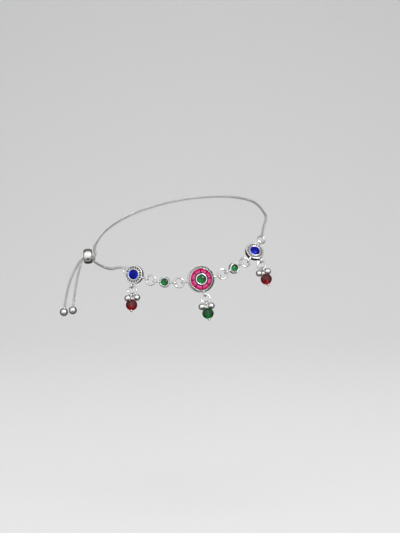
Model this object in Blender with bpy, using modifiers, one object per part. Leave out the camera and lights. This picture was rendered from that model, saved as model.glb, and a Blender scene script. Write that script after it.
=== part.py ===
"""Payal anklet, modelled in the loop that it has when worn round an ankle.

Metres, +Z up. The origin is the middle of the loop, the front of the anklet faces -Y, and the
slider with its two hanging chain ends is at -X.

A piece with a face is modelled flat at the origin: its face looks along +Z, its two side eyes lie
along X, and its middle plane is at Z = 0. Its matrix then lays it into the loop. A drop is
modelled hanging from the origin, down along -Z, with its ring in the XZ plane.
"""

import math
from collections import namedtuple

import bmesh
import bpy
from mathutils import Matrix, Vector

MM = 0.001
UP = Vector((0, 0, 1))
WELD = 0.001 * MM  # points closer than this are one point

# Clearances
LINK_GAP = 0.2 * MM  # between a ring's wire and the inside of an eye
SEAT_GAP = 0.07 * MM  # round a stone in its seat
CHAIN_GAP = 0.15 * MM  # from a chain to the ring or ball at its end
PIN_GAP = 0.12 * MM  # round a head pin in its crystal
SOLDER_DEPTH = 0.3 * MM  # how far a soldered piece runs into the metal that it is soldered to

# The cast eyes on the rim of a setting
EYE_HOLE = 0.65 * MM
EYE_WIRE = 0.32 * MM
EYE_STAND = 1.82 * MM  # from the rim to the middle of the hole of a side eye
EYE_NECK = 0.36 * MM

# Settings, in the order of their turned profile: seat, bezel, channel, rim
Setting = namedtuple(
    "Setting",
    "radius height edge_height rim_width lip_width channel_floor"
    " bezel_width bezel_height stone_radius stone_rise seat_floor lower_stand teeth",
)
MEDALLION = Setting(
    radius=6.5 * MM,
    height=2.05 * MM,
    edge_height=0.95 * MM,
    rim_width=1.4 * MM,
    lip_width=0.25 * MM,
    channel_floor=0.95 * MM,
    bezel_width=1.0 * MM,
    bezel_height=2.35 * MM,
    stone_radius=2.03 * MM,
    stone_rise=0.85 * MM,
    seat_floor=1.2 * MM,
    lower_stand=0.75 * MM,
    teeth=28,
)
CHARM = Setting(
    radius=4.4 * MM,
    height=2.3 * MM,
    edge_height=2.1 * MM,
    rim_width=0.34 * MM,
    lip_width=0.16 * MM,
    channel_floor=1.25 * MM,
    bezel_width=0.42 * MM,
    bezel_height=2.35 * MM,
    stone_radius=2.28 * MM,
    stone_rise=0.85 * MM,
    seat_floor=1.3 * MM,
    lower_stand=1.07 * MM,
    teeth=18,
)
CONNECTOR = Setting(
    radius=2.6 * MM,
    height=1.5 * MM,
    edge_height=1.35 * MM,
    rim_width=0.32 * MM,
    lip_width=0.14 * MM,
    channel_floor=1.15 * MM,
    bezel_width=0.32 * MM,
    bezel_height=1.75 * MM,
    stone_radius=1.68 * MM,
    stone_rise=0.75 * MM,
    seat_floor=0.85 * MM,
    lower_stand=None,
    teeth=12,
)
ROW_STEP = 0.06 * MM  # width of the little step between a flat row of a profile and its teeth
GROOVE_DEPTH = 0.22 * MM  # of the grooves across the medallion's sloping rim
RIDGE_HEIGHT = 0.8 * MM  # of the ridges across a charm's channel
BEZEL_CROWN = 0.1 * MM  # how far the middle of a bezel's edge stands over its sides
BEZEL_MIDDLE = 0.4  # share of the bezel's width where its edge is highest
BEZEL_EDGE = 0.8  # share of the bezel's width where its outer side starts
CHANNEL_ROWS = slice(6, 8)  # rows of setting_profile that lie inside the channel
SLOPE_ROWS = slice(11, 13)  # rows of it that lie on the sloping rim
BACK_CHAMFER = 0.2 * MM
STONE_WALL_DROP = 0.25 * MM  # from the edge of a bezel down to where the stone's dome starts

# The pink stones in the medallion's channel
PINK_STONES = 8
PINK_TURN = 19.5  # degrees from the medallion's X axis to the middle of the first stone
PINK_SPACING = 0.3 * MM
PINK_RISE = 0.1 * MM  # of the table over the rim of the medallion
PINK_GIRDLE_DROP = 0.42 * MM  # from the table down to the girdle
PINK_TABLE_INSET = 0.34 * MM
PINK_POINT_INSET = 0.3 * MM

# Rings
JUMP_RADIUS = 2.25 * MM
JUMP_WIRE = 0.4 * MM
SIDE_RING_RADIUS = 1.62 * MM
SIDE_RING_WIRE = 0.33 * MM
SIDE_RING_LEAN = 10.0  # degrees up from the charm's X axis to the ring that is soldered on its rim
LEFT_END_RADIUS = 1.08 * MM
LEFT_END_WIRE = 0.23 * MM
RIGHT_END_RADIUS = 1.83 * MM
RIGHT_END_WIRE = 0.37 * MM

# Drops
DROP_RADIUS = 2.1 * MM
DROP_WIRE = 0.36 * MM
BALL_RADIUS = 1.55 * MM
BALL_EYE_HOLE = 0.52 * MM
BALL_EYE_WIRE = 0.2 * MM
BALL_SPREAD = 33.0  # degrees from the bottom of the drop ring to each ball
PIN_EYE_HOLE = 0.66 * MM
PIN_EYE_WIRE = 0.25 * MM
PIN_WIRE = 0.26 * MM
PIN_LENGTH = 2.55 * MM  # from the middle of the pin's eye to the top of its crystal
PIN_HEAD = 0.62 * MM
PIN_TILT = 12.0  # degrees that the pin leans out further than its drop ring
CRYSTAL_RADIUS = 2.72 * MM
CRYSTAL_HEIGHT = 4.8 * MM
CRYSTAL_END_RADIUS = 1.3 * MM
CRYSTAL_GIRDLE = 1.5 * MM
CRYSTAL_SIDES = 12

# Chains, slider and end balls
CHAIN_RADIUS = 0.75 * MM
SLIDER_RADIUS = 3.7 * MM
SLIDER_BORE = 2.0 * MM
SLIDER_LENGTH = 4.1 * MM
SLIDER_CENTRE = Vector((-42.9, -2.0, -9.3)) * MM
SLIDER_AXIS = Vector((1, 0, 0.05)).normalized()
LANE_OFFSET = 0.9 * MM  # from the slider's axis to the middle of each chain
LANE_DROP = 0.45 * MM  # from the slider's axis down to the middles of the chains
LANE_REACH = 0.22  # share of the slider's length where each chain runs straight, each way
END_BALL_RADIUS = 2.0 * MM
END_BALL_SINK = 0.35 * MM  # how far a chain runs into its end ball

# The way of the two chains and of the row of charms between them, in millimetres: up the front
# chain's hanging end, through the slider, round the front, right side and back, through the
# slider again and down the back chain's hanging end.
FRONT_TAIL = (
    (-50.4, -2.9, -34.1),
    (-50.1, -2.9, -31.4),
    (-49.6, -2.9, -28.0),
    (-48.8, -2.9, -23.0),
    (-47.8, -2.9, -18.0),
    (-46.6, -2.9, -13.5),
    (-45.7, -2.9, -10.8),
)
LOOP = (
    (-39.9, -4.6, -9.8),
    (-39.6, -10.0, -10.4),
    (-37.7, -14.5, -11.1),
    (-33.7, -20.0, -12.2),
    (-30.0, -24.2, -12.3),
    (-25.6, -26.6, -11.3),
    (-19.5, -29.5, -13.4),
    (-11.6, -32.0, -16.8),
    (-4.9, -32.8, -17.0),
    (1.7, -33.0, -17.7),
    (12.2, -32.0, -16.2),
    (22.0, -29.0, -14.5),
    (27.0, -26.0, -11.2),
    (32.2, -22.5, -9.8),
    (38.2, -17.5, -6.4),
    (40.8, -11.5, -0.1),
    (42.2, -6.0, 5.5),
    (43.4, -2.0, 8.6),
    (42.8, 2.0, 11.3),
    (38.0, 16.0, 15.5),
    (28.0, 26.0, 17.0),
    (15.0, 31.5, 16.5),
    (0.0, 33.0, 14.5),
    (-14.0, 31.5, 11.0),
    (-26.0, 27.0, 6.5),
    (-35.0, 20.0, 1.0),
    (-39.8, 11.0, -4.6),
    (-40.2, 5.0, -7.3),
    (-39.5, 0.6, -8.9),
)
BACK_TAIL = (
    (-46.7, -1.1, -11.5),
    (-48.4, -1.1, -14.2),
    (-50.4, -1.1, -18.0),
    (-52.2, -1.1, -22.5),
    (-53.5, -1.1, -27.6),
    (-54.3, -1.1, -32.0),
    (-54.8, -1.1, -35.3),
)
MEDALLION_POINT = 10  # the place in LOOP where the middle of the medallion lies

# How each piece of the front row leans, in degrees: face_lean back from upright, eye_lean and
# drop_lean to the right of straight down, for its lower eye and its drop, and drop_tilt outwards
# from its face to its drop ring.
Lean = namedtuple("Lean", "face_lean eye_lean drop_lean drop_tilt")
LEANS = {
    "left_charm": Lean(11, -8, 8, 9),
    "jump_ring_1": Lean(11, None, None, None),
    "left_connector": Lean(11, None, None, None),
    "jump_ring_2": Lean(11, None, None, None),
    "medallion": Lean(11, 12, 5, 9),
    "jump_ring_3": Lean(14, None, None, None),
    "right_connector": Lean(18, None, None, None),
    "jump_ring_4": Lean(38, None, None, None),
    "right_charm": Lean(50, 19, 10, -19),
    "right_end_ring": Lean(48, None, None, None),
}

# Facets
SPAN_STEPS = 16  # straight steps between two points of the way
START_SKIP = 2  # steps of the way that a chain leaves out after its first point
TUBE_STEP = 4.2 * MM  # longest straight step of a chain's solid
TUBE_TURN = 20.0  # degrees, sharpest turn between two steps of it
EYE_FACETS = (12, 5)
RING_FACETS = (16, 6)
SMALL_RING_FACETS = (12, 6)
BALL_FACETS = (12, 8)
NECK_FACETS = 8
TURNED_STEPS = 24
STONE_STEPS = 16
DOME_STEPS = 4
ARC_STEPS = 6
SMOOTH_ANGLE = math.radians(35)


# Materials
def plain_material(name, colour, roughness, metallic):
    material = bpy.data.materials.new(name)
    material.use_nodes = True
    shader = material.node_tree.nodes["Principled BSDF"]
    shader.inputs["Base Color"].default_value = (*colour, 1)
    shader.inputs["Roughness"].default_value = roughness
    shader.inputs["Metallic"].default_value = metallic
    material.diffuse_color = (*colour, 1)
    return material


def make_materials():
    return {
        "silver": plain_material("silver", (0.72, 0.72, 0.71), 0.22, 1),
        "cast_silver": plain_material("cast_silver", (0.52, 0.52, 0.51), 0.34, 1),
        "chain_silver": plain_material("chain_silver", (0.6, 0.6, 0.59), 0.28, 1),
        "blue_glass": plain_material("blue_glass", (0.005, 0.015, 0.45), 0.06, 0),
        "green_glass": plain_material("green_glass", (0.0, 0.13, 0.03), 0.06, 0),
        "pink_glass": plain_material("pink_glass", (0.5, 0.01, 0.12), 0.06, 0),
        "garnet_crystal": plain_material("garnet_crystal", (0.09, 0.003, 0.005), 0.04, 0),
        "green_crystal": plain_material("green_crystal", (0.0, 0.035, 0.01), 0.04, 0),
    }


# Helpers for meshes
def mesh_of(obj):
    """A new mesh with the object's modifiers and its place taken in. The object is removed."""
    bpy.context.view_layer.update()
    graph = bpy.context.evaluated_depsgraph_get()
    mesh = bpy.data.meshes.new_from_object(obj.evaluated_get(graph))
    mesh.transform(obj.matrix_world)
    bpy.data.objects.remove(obj)
    return mesh


def soldered(meshes):
    """The union of the meshes, as one closed mesh."""
    objects = []
    for number, mesh in enumerate(meshes):
        obj = bpy.data.objects.new(f"soldered_{number}", mesh)
        bpy.context.scene.collection.objects.link(obj)
        objects.append(obj)
    body = objects[0]
    for other in objects[1:]:
        union = body.modifiers.new(other.name, "BOOLEAN")
        union.operation = "UNION"
        union.solver = "EXACT"
        union.object = other
    joined = mesh_of(body)
    for other in objects[1:]:
        bpy.data.objects.remove(other)
    return joined


def turned(profile, steps):
    """A solid turned round Z from points (radius, height) that run down its outer side."""
    mesh = bpy.data.meshes.new("profile")
    points = [(radius, 0, height) for radius, height in profile]
    last = len(points) - 1
    edges = [(index, index + 1) for index in range(last)]
    if profile[0][0] > 0:
        edges.append((last, 0))
    mesh.from_pydata(points, edges, [])
    obj = bpy.data.objects.new("turned", mesh)
    bpy.context.scene.collection.objects.link(obj)
    screw = obj.modifiers.new("turn", "SCREW")
    screw.steps = steps
    screw.render_steps = steps
    screw.use_merge_vertices = True
    screw.merge_threshold = WELD
    return mesh_of(obj)


def wire_ring(radius, wire, facets, matrix):
    around, sides = facets
    bpy.ops.mesh.primitive_torus_add(
        major_radius=radius, minor_radius=wire, major_segments=around, minor_segments=sides
    )
    ring = bpy.context.active_object
    ring.matrix_world = matrix
    return mesh_of(ring)


def ball(radius, matrix):
    around, rows = BALL_FACETS
    bpy.ops.mesh.primitive_uv_sphere_add(radius=radius, segments=around, ring_count=rows)
    sphere = bpy.context.active_object
    sphere.matrix_world = matrix
    return mesh_of(sphere)


def rod(radius, start, end):
    """A round rod from start to end."""
    bpy.ops.mesh.primitive_cylinder_add(
        radius=radius, depth=(end - start).length, vertices=NECK_FACETS
    )
    cylinder = bpy.context.active_object
    turn = UP.rotation_difference(end - start).to_matrix().to_4x4()
    cylinder.matrix_world = Matrix.Translation((start + end) / 2) @ turn
    return mesh_of(cylinder)


def add_part(name, mesh, material, matrix, parts):
    mesh.name = name
    mesh.materials.clear()
    mesh.materials.append(material)
    mesh.shade_smooth()
    mesh.set_sharp_from_angle(angle=SMOOTH_ANGLE)
    obj = bpy.data.objects.new(name, mesh)
    obj.matrix_world = matrix
    parts.objects.link(obj)
    return obj


# Settings and their stones
def hang_offset(hole, wire):
    """From the middle of an eye's hole to the middle of a wire that rests against its side."""
    return hole - wire - LINK_GAP


def eye_centre(setting, angle, stand):
    reach = setting.radius + stand
    return Vector((reach * math.cos(angle), reach * math.sin(angle), 0))


def eye_meshes(setting, angle, stand):
    """A cast eye at the rim: a ring that holds the rim's direction and the face's, on a neck.

    An eye that stands close to the rim runs into it and has no neck.
    """
    direction = Vector((math.cos(angle), math.sin(angle), 0))
    centre = eye_centre(setting, angle, stand)
    matrix = Matrix.Translation(centre) @ Matrix.Rotation(angle, 4, "Z")
    matrix = matrix @ Matrix.Rotation(math.pi / 2, 4, "X")
    meshes = [wire_ring(EYE_HOLE + EYE_WIRE, EYE_WIRE, EYE_FACETS, matrix)]
    if stand > EYE_HOLE + EYE_WIRE:
        neck_end = centre - direction * (EYE_HOLE + EYE_WIRE)
        neck = rod(EYE_NECK, direction * (setting.radius - SOLDER_DEPTH), neck_end)
        meshes.append(neck)
    return meshes


def seat_radius(setting):
    return setting.stone_radius + SEAT_GAP


def channel_radii(setting):
    """Inner and outer radius of the channel between the bezel and the rim."""
    return seat_radius(setting) + setting.bezel_width, setting.radius - setting.rim_width


def setting_profile(setting):
    """Rows (radius, height over the back), from the middle of the seat out and round to the back."""
    seat = seat_radius(setting)
    inner, outer = channel_radii(setting)
    lip_end = outer + setting.lip_width
    bezel_middle = seat + BEZEL_MIDDLE * setting.bezel_width
    bezel_edge = seat + BEZEL_EDGE * setting.bezel_width
    return [
        (0, setting.seat_floor),
        (seat, setting.seat_floor),
        (seat, setting.bezel_height - BEZEL_CROWN),
        (bezel_middle, setting.bezel_height),
        (bezel_edge, setting.bezel_height - BEZEL_CROWN),
        (inner, setting.channel_floor),
        (inner + ROW_STEP, setting.channel_floor),
        (outer - ROW_STEP, setting.channel_floor),
        (outer, setting.channel_floor),
        (outer, setting.height),
        (lip_end, setting.height),
        (lip_end + ROW_STEP, setting.height - ROW_STEP),
        (setting.radius - ROW_STEP, setting.edge_height + ROW_STEP),
        (setting.radius, setting.edge_height),
        (setting.radius, BACK_CHAMFER),
        (setting.radius - BACK_CHAMFER, 0),
        (0, 0),
    ]


def raise_teeth(mesh, rows, rise, teeth):
    """Lifts every other spoke of the named rows, which makes teeth across them."""
    spoke_angle = math.pi / teeth
    for vertex in mesh.vertices:
        radius = math.hypot(vertex.co.x, vertex.co.y)
        spoke = round(math.atan2(vertex.co.y, vertex.co.x) / spoke_angle)
        for row_radius, row_height in rows:
            here = abs(radius - row_radius) + abs(vertex.co.z - row_height) < 0.5 * ROW_STEP
            if here and spoke % 2:
                vertex.co.z += rise
                break


def setting_body(setting):
    """The turned body of a setting, with its teeth, its middle plane at Z = 0."""
    profile = setting_profile(setting)
    body = turned(profile, 2 * setting.teeth)
    if setting is MEDALLION:
        raise_teeth(body, profile[SLOPE_ROWS], -GROOVE_DEPTH, setting.teeth)
    elif setting is CHARM:
        raise_teeth(body, profile[CHANNEL_ROWS], RIDGE_HEIGHT, setting.teeth)
    body.transform(Matrix.Translation((0, 0, -setting.height / 2)))
    return body


def side_ring_centre():
    lean = math.radians(180 - SIDE_RING_LEAN)
    reach = CHARM.radius + SIDE_RING_WIRE - SOLDER_DEPTH
    return Vector((reach * math.cos(lean), reach * math.sin(lean), 0))


def setting_mesh(setting, eyes, side_ring):
    """A setting's body with its eyes, each given as (angle, stand)."""
    meshes = [setting_body(setting)]
    for angle, stand in eyes:
        meshes += eye_meshes(setting, angle, stand)
    if side_ring:
        matrix = Matrix.Translation(side_ring_centre())
        ring = wire_ring(SIDE_RING_RADIUS, SIDE_RING_WIRE, SMALL_RING_FACETS, matrix)
        meshes.append(ring)
    return soldered(meshes)


def cabochon_mesh(setting):
    """A domed stone that fills the seat of a setting."""
    dome_base = setting.bezel_height - STONE_WALL_DROP
    bottom = setting.seat_floor + SEAT_GAP
    rise = setting.stone_rise
    dome = []
    for step in range(DOME_STEPS + 1):
        angle = math.pi / 2 * step / DOME_STEPS
        radius = setting.stone_radius * math.sin(angle)
        dome.append((radius, dome_base + rise * math.cos(angle)))
    stone = turned(dome + [(setting.stone_radius, bottom), (0, bottom)], STONE_STEPS)
    stone.transform(Matrix.Translation((0, 0, -setting.height / 2)))
    return stone


def pink_stone_mesh():
    """A keystone-shaped cut stone, its middle on the X axis, with a table and six crown facets."""
    inner, outer = channel_radii(MEDALLION)
    inner += SEAT_GAP
    outer -= SEAT_GAP
    share = math.pi / PINK_STONES
    outline = []
    for radius, side in ((outer, -1), (outer, 0), (outer, 1), (inner, 1), (inner, 0), (inner, -1)):
        angle = side * (share - math.asin(PINK_SPACING / 2 / radius))
        outline.append(Vector((radius * math.cos(angle), radius * math.sin(angle), 0)))
    table = MEDALLION.height + PINK_RISE - MEDALLION.height / 2
    girdle = table - PINK_GIRDLE_DROP
    bottom = MEDALLION.channel_floor + SEAT_GAP - MEDALLION.height / 2
    mesh = bpy.data.meshes.new("pink_stone")
    stone = bmesh.new()
    corners = [stone.verts.new(point + UP * girdle) for point in outline]
    face = stone.faces.new(corners)
    crown = [face]
    culet = bmesh.ops.extrude_face_region(stone, geom=[face])
    lower = [item for item in culet["geom"] if isinstance(item, bmesh.types.BMFace)]
    bmesh.ops.inset_region(stone, faces=crown, thickness=PINK_TABLE_INSET)
    bmesh.ops.inset_region(stone, faces=lower, thickness=PINK_POINT_INSET)
    for vertex in crown[0].verts:
        vertex.co.z = table
    for vertex in lower[0].verts:
        vertex.co.z = bottom
    bmesh.ops.remove_doubles(stone, verts=stone.verts, dist=WELD)
    bmesh.ops.recalc_face_normals(stone, faces=stone.faces)
    stone.to_mesh(mesh)
    stone.free()
    return mesh


# Drops, hanging from the middle of the hole of the eye that carries them
def drop_ring_centre():
    return Vector((0, 0, -hang_offset(EYE_HOLE, DROP_WIRE) - DROP_RADIUS))


def upright(matrix):
    """Turns a ring that lies flat, so that its hole faces along Y."""
    return matrix @ Matrix.Rotation(math.pi / 2, 4, "X")


def drop_ring_mesh():
    matrix = upright(Matrix.Translation(drop_ring_centre()))
    return wire_ring(DROP_RADIUS, DROP_WIRE, RING_FACETS, matrix)


def drop_ball_mesh():
    """A ball and its eye, hanging from the middle of the drop ring's wire at the origin."""
    eye = Vector((0, 0, -hang_offset(BALL_EYE_HOLE, DROP_WIRE)))
    facing = Matrix.Translation(eye) @ Matrix.Rotation(math.pi / 2, 4, "Y")
    ring = wire_ring(BALL_EYE_HOLE + BALL_EYE_WIRE, BALL_EYE_WIRE, EYE_FACETS, facing)
    middle = -UP * (DROP_WIRE + LINK_GAP + BALL_RADIUS)
    return soldered([ball(BALL_RADIUS, Matrix.Translation(middle)), ring])


def crystal_top():
    """From the middle of the drop ring's wire down to the top of the crystal."""
    return hang_offset(PIN_EYE_HOLE, DROP_WIRE) + PIN_LENGTH


def pin_mesh():
    """A head pin with its eye, hanging from the middle of the drop ring's wire at the origin."""
    eye = Vector((0, 0, -hang_offset(PIN_EYE_HOLE, DROP_WIRE)))
    head = Vector((0, 0, -crystal_top() - CRYSTAL_HEIGHT - PIN_HEAD))
    facing = Matrix.Translation(eye) @ Matrix.Rotation(math.pi / 2, 4, "Y")
    ring = wire_ring(PIN_EYE_HOLE + PIN_EYE_WIRE, PIN_EYE_WIRE, EYE_FACETS, facing)
    shaft = rod(PIN_WIRE, head, eye - UP * (PIN_EYE_HOLE + PIN_EYE_WIRE))
    return soldered([ball(PIN_HEAD, Matrix.Translation(head)), shaft, ring])


def crystal_mesh():
    """A cut bead, drilled for its pin, hanging under the middle of the drop ring's wire."""
    bore = PIN_WIRE + PIN_GAP
    half = CRYSTAL_HEIGHT / 2
    girdle = CRYSTAL_GIRDLE / 2
    profile = [
        (bore, half),
        (CRYSTAL_END_RADIUS, half),
        (CRYSTAL_RADIUS, girdle),
        (CRYSTAL_RADIUS, -girdle),
        (CRYSTAL_END_RADIUS, -half),
        (bore, -half),
    ]
    crystal = turned(profile, CRYSTAL_SIDES)
    crystal.transform(Matrix.Translation((0, 0, -crystal_top() - half)))
    return crystal


# Slider and end balls
def slider_mesh():
    """A ring of oval section, turned round Z."""
    middle = (SLIDER_RADIUS + SLIDER_BORE) / 2
    thick = (SLIDER_RADIUS - SLIDER_BORE) / 2
    profile = []
    for step in range(2 * ARC_STEPS):
        angle = math.pi / 2 - math.pi * step / ARC_STEPS
        radius = middle + thick * math.cos(angle)
        profile.append((radius, SLIDER_LENGTH / 2 * math.sin(angle)))
    return turned(profile, TURNED_STEPS)


def end_ball_mesh():
    """A ball with a socket in its top, round the end of a chain."""
    socket = CHAIN_RADIUS + CHAIN_GAP
    floor = END_BALL_RADIUS - END_BALL_SINK - CHAIN_GAP
    start = math.asin(socket / END_BALL_RADIUS)
    profile = [(0, floor), (socket, floor)]
    for step in range(2 * DOME_STEPS + 1):
        angle = start + (math.pi - start) * step / (2 * DOME_STEPS)
        radius = END_BALL_RADIUS * math.sin(angle) if step < 2 * DOME_STEPS else 0
        profile.append((radius, END_BALL_RADIUS * math.cos(angle)))
    return turned(profile, STONE_STEPS)


# The way round the ankle
def smooth_line(points):
    """A fine line along a smooth curve through the points."""
    ends = [2 * points[0] - points[1], *points, 2 * points[-1] - points[-2]]
    line = []
    for a, b, c, d in zip(ends, ends[1:], ends[2:], ends[3:]):
        for step in range(SPAN_STEPS):
            t = step / SPAN_STEPS
            bend = (2 * a - 5 * b + 4 * c - d) * t**2 + (3 * b - a - 3 * c + d) * t**3
            line.append(b + ((c - a) * t + bend) / 2)
    line.append(points[-1])
    return line


def lane(side, direction):
    """Two points of a chain inside the slider; side is -1 for the front chain, 1 for the back."""
    aside = Vector((0, side * LANE_OFFSET, -LANE_DROP))
    reach = SLIDER_AXIS * SLIDER_LENGTH * LANE_REACH * direction
    return [SLIDER_CENTRE + aside - reach, SLIDER_CENTRE + aside + reach]


def whole_way():
    """The smooth line of the whole anklet, and the place on it of the medallion's middle."""
    front_tail = [Vector(point) * MM for point in FRONT_TAIL]
    loop = [Vector(point) * MM for point in LOOP]
    back_tail = [Vector(point) * MM for point in BACK_TAIL]
    start = front_tail + lane(-1, 1)
    points = start + loop + lane(1, -1) + back_tail
    return smooth_line(points), (len(start) + MEDALLION_POINT) * SPAN_STEPS


def reach_along(line, index, step, start, distance):
    """The point towards the line that lies a straight distance from start, and its place on it."""
    while (line[index] - start).length < distance:
        index += step
    return start + (line[index] - start).normalized() * distance, index


def laid(left, right, left_here, right_here, lean):
    """The matrix that lays a piece's own two joint points onto their places in the row."""
    along = (right - left).normalized()
    outward = along.cross(UP).normalized()
    lean = math.radians(lean)
    face = outward * math.cos(lean) + outward.cross(along) * math.sin(lean)
    frame = Matrix((along, face.cross(along), face)).transposed().to_4x4()
    chord = right_here - left_here
    turn = frame @ Matrix.Rotation(-math.atan2(chord.y, chord.x), 4, "Z")
    middle = (left + right) / 2 - turn.to_3x3() @ ((left_here + right_here) / 2)
    return Matrix.Translation(middle) @ turn


def side_joint(setting):
    """Where the wire of a jump ring crosses the side eye of a setting, at +X."""
    return Vector((setting.radius + EYE_STAND + hang_offset(EYE_HOLE, JUMP_WIRE), 0, 0))


def end_joint():
    """Where the wire of the right end ring crosses the right charm's outer eye."""
    return Vector((CHARM.radius + EYE_STAND + hang_offset(EYE_HOLE, RIGHT_END_WIRE), 0, 0))


def soldered_ring_joint():
    """Where the middle of the left end ring lies, in the ring soldered to the left charm."""
    centre = side_ring_centre()
    hole = LEFT_END_RADIUS - LEFT_END_WIRE
    rest = hang_offset(hole, SIDE_RING_WIRE)
    return centre + centre.normalized() * (SIDE_RING_RADIUS + rest)


def row_pieces():
    """The front row as (name, left joint, right joint), to the left and to the right."""
    jump = Vector((JUMP_RADIUS, 0, 0))
    end = Vector((RIGHT_END_RADIUS, 0, 0))
    connector = side_joint(CONNECTOR)
    charm = side_joint(CHARM)
    leftward = [
        ("jump_ring_2", -jump, jump),
        ("left_connector", -connector, connector),
        ("jump_ring_1", -jump, jump),
        ("left_charm", soldered_ring_joint(), charm),
    ]
    rightward = [
        ("jump_ring_3", -jump, jump),
        ("right_connector", -connector, connector),
        ("jump_ring_4", -jump, jump),
        ("right_charm", -charm, end_joint()),
        ("right_end_ring", -end, end),
    ]
    return leftward, rightward


def lay_row(line, middle_index):
    """The matrix of each piece of the front row, and the places on the line where it ends."""
    joint = side_joint(MEDALLION)
    middle = line[middle_index]
    left, left_index = reach_along(line, middle_index, -1, middle, joint.x)
    right, right_index = reach_along(line, middle_index, 1, middle, joint.x)
    medallion = laid(left, right, -joint, joint, LEANS["medallion"].face_lean)
    matrices = {"medallion": medallion}
    leftward, rightward = row_pieces()
    place = medallion @ -joint
    for name, left_here, right_here in leftward:
        reach = (right_here - left_here).length
        far, left_index = reach_along(line, left_index, -1, place, reach)
        matrices[name] = laid(far, place, left_here, right_here, LEANS[name].face_lean)
        place = far
    left_end = place
    place = medallion @ joint
    for name, left_here, right_here in rightward:
        reach = (right_here - left_here).length
        far, right_index = reach_along(line, right_index, 1, place, reach)
        matrices[name] = laid(place, far, left_here, right_here, LEANS[name].face_lean)
        place = far
    return matrices, (left_end, left_index), (place, right_index)


def down_angle(matrix, lean):
    """The angle on a piece's face that lies lean degrees to the right of straight down."""
    down = matrix.to_3x3().inverted() @ -UP
    return math.atan2(down.y, down.x) + math.radians(lean)


def drop_matrix(face_matrix, setting, lean):
    """Hangs a drop in the lower eye of a setting, tilted out of its face's plane."""
    angle = down_angle(face_matrix, lean.drop_lean)
    eye = eye_centre(setting, down_angle(face_matrix, lean.eye_lean), setting.lower_stand)
    down = Vector((math.cos(angle), math.sin(angle), 0))
    outward = UP
    frame = Matrix((down.cross(outward), -outward, -down)).transposed().to_4x4()
    tilt = Matrix.Rotation(-math.radians(lean.drop_tilt), 4, "X")
    return face_matrix @ Matrix.Translation(eye) @ frame @ tilt


# Building the parts
def chain_object(name, line, material, parts):
    """A plain tube along the line, with points close together where it bends."""
    kept = [line[0]]
    heading = (line[1] - line[0]).normalized()
    for before, here in zip(line[1:], line[2:]):
        now = (here - before).normalized()
        if (here - kept[-1]).length < CHAIN_RADIUS:
            continue
        turn = math.degrees(heading.angle(now))
        if (here - kept[-1]).length > TUBE_STEP or turn > TUBE_TURN:
            kept.append(before)
            heading = now
    kept[-1] = line[-1]
    curve = bpy.data.curves.new(name, "CURVE")
    curve.dimensions = "3D"
    curve.bevel_depth = CHAIN_RADIUS
    curve.bevel_resolution = 2
    curve.use_fill_caps = True
    spline = curve.splines.new("POLY")
    spline.points.add(len(kept) - 1)
    for point, place in zip(spline.points, kept):
        point.co = (*place, 1)
    curve.materials.append(material)
    obj = bpy.data.objects.new(name, curve)
    parts.objects.link(obj)
    return kept


def add_drop(name, hanging, crystal_material, materials, parts):
    """The five pieces of one drop, on an empty at the eye that it hangs from."""
    holder = bpy.data.objects.new(f"{name}_hanging_point", None)
    holder.matrix_world = hanging
    parts.objects.link(holder)
    silver = materials["silver"]
    centre = Matrix.Translation(drop_ring_centre())
    wire = Matrix.Translation((0, 0, -DROP_RADIUS))
    bottom = centre @ wire @ Matrix.Rotation(-math.radians(PIN_TILT), 4, "X")
    pieces = [(f"{name}_ring", drop_ring_mesh(), silver, Matrix())]
    for number, side in ((1, 1), (2, -1)):
        spread = Matrix.Rotation(side * math.radians(BALL_SPREAD), 4, "Y")
        pieces.append((f"{name}_ball_{number}", drop_ball_mesh(), silver, centre @ spread @ wire))
    pieces.append((f"{name}_pin", pin_mesh(), silver, bottom))
    pieces.append((f"{name}_crystal", crystal_mesh(), materials[crystal_material], bottom))
    for piece_name, mesh, material, place in pieces:
        piece = add_part(piece_name, mesh, material, place, parts)
        piece.parent = holder


def add_row(matrices, materials, parts):
    """The settings with their stones, and the rings between them."""
    cast = materials["cast_silver"]
    rows = (
        ("left_charm", CHARM, (0,), "blue_glass", "garnet_crystal", "left_drop"),
        ("left_connector", CONNECTOR, (0, math.pi), "green_glass", None, None),
        ("medallion", MEDALLION, (0, math.pi), "green_glass", "green_crystal", "middle_drop"),
        ("right_connector", CONNECTOR, (0, math.pi), "green_glass", None, None),
        ("right_charm", CHARM, (0, math.pi), "blue_glass", "garnet_crystal", "right_drop"),
    )
    for name, setting, sides, stone, crystal, drop in rows:
        matrix = matrices[name]
        lean = LEANS[name]
        eyes = [(angle, EYE_STAND) for angle in sides]
        if drop:
            eyes.append((down_angle(matrix, lean.eye_lean), setting.lower_stand))
            add_drop(drop, drop_matrix(matrix, setting, lean), crystal, materials, parts)
        mesh = setting_mesh(setting, eyes, name == "left_charm")
        add_part(f"{name}_setting", mesh, cast, matrix, parts)
        add_part(f"{name}_cabochon", cabochon_mesh(setting), materials[stone], matrix, parts)
    for number in range(PINK_STONES):
        turn = math.radians(PINK_TURN) + math.tau * number / PINK_STONES
        place = matrices["medallion"] @ Matrix.Rotation(turn, 4, "Z")
        name = f"medallion_stone_{number + 1}"
        add_part(name, pink_stone_mesh(), materials["pink_glass"], place, parts)
    flat = Matrix()
    for number in range(1, 5):
        ring = wire_ring(JUMP_RADIUS, JUMP_WIRE, RING_FACETS, flat)
        name = f"jump_ring_{number}"
        add_part(name, ring, materials["silver"], matrices[name], parts)
    ring = wire_ring(RIGHT_END_RADIUS, RIGHT_END_WIRE, RING_FACETS, flat)
    add_part("right_end_ring", ring, materials["silver"], matrices["right_end_ring"], parts)


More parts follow.
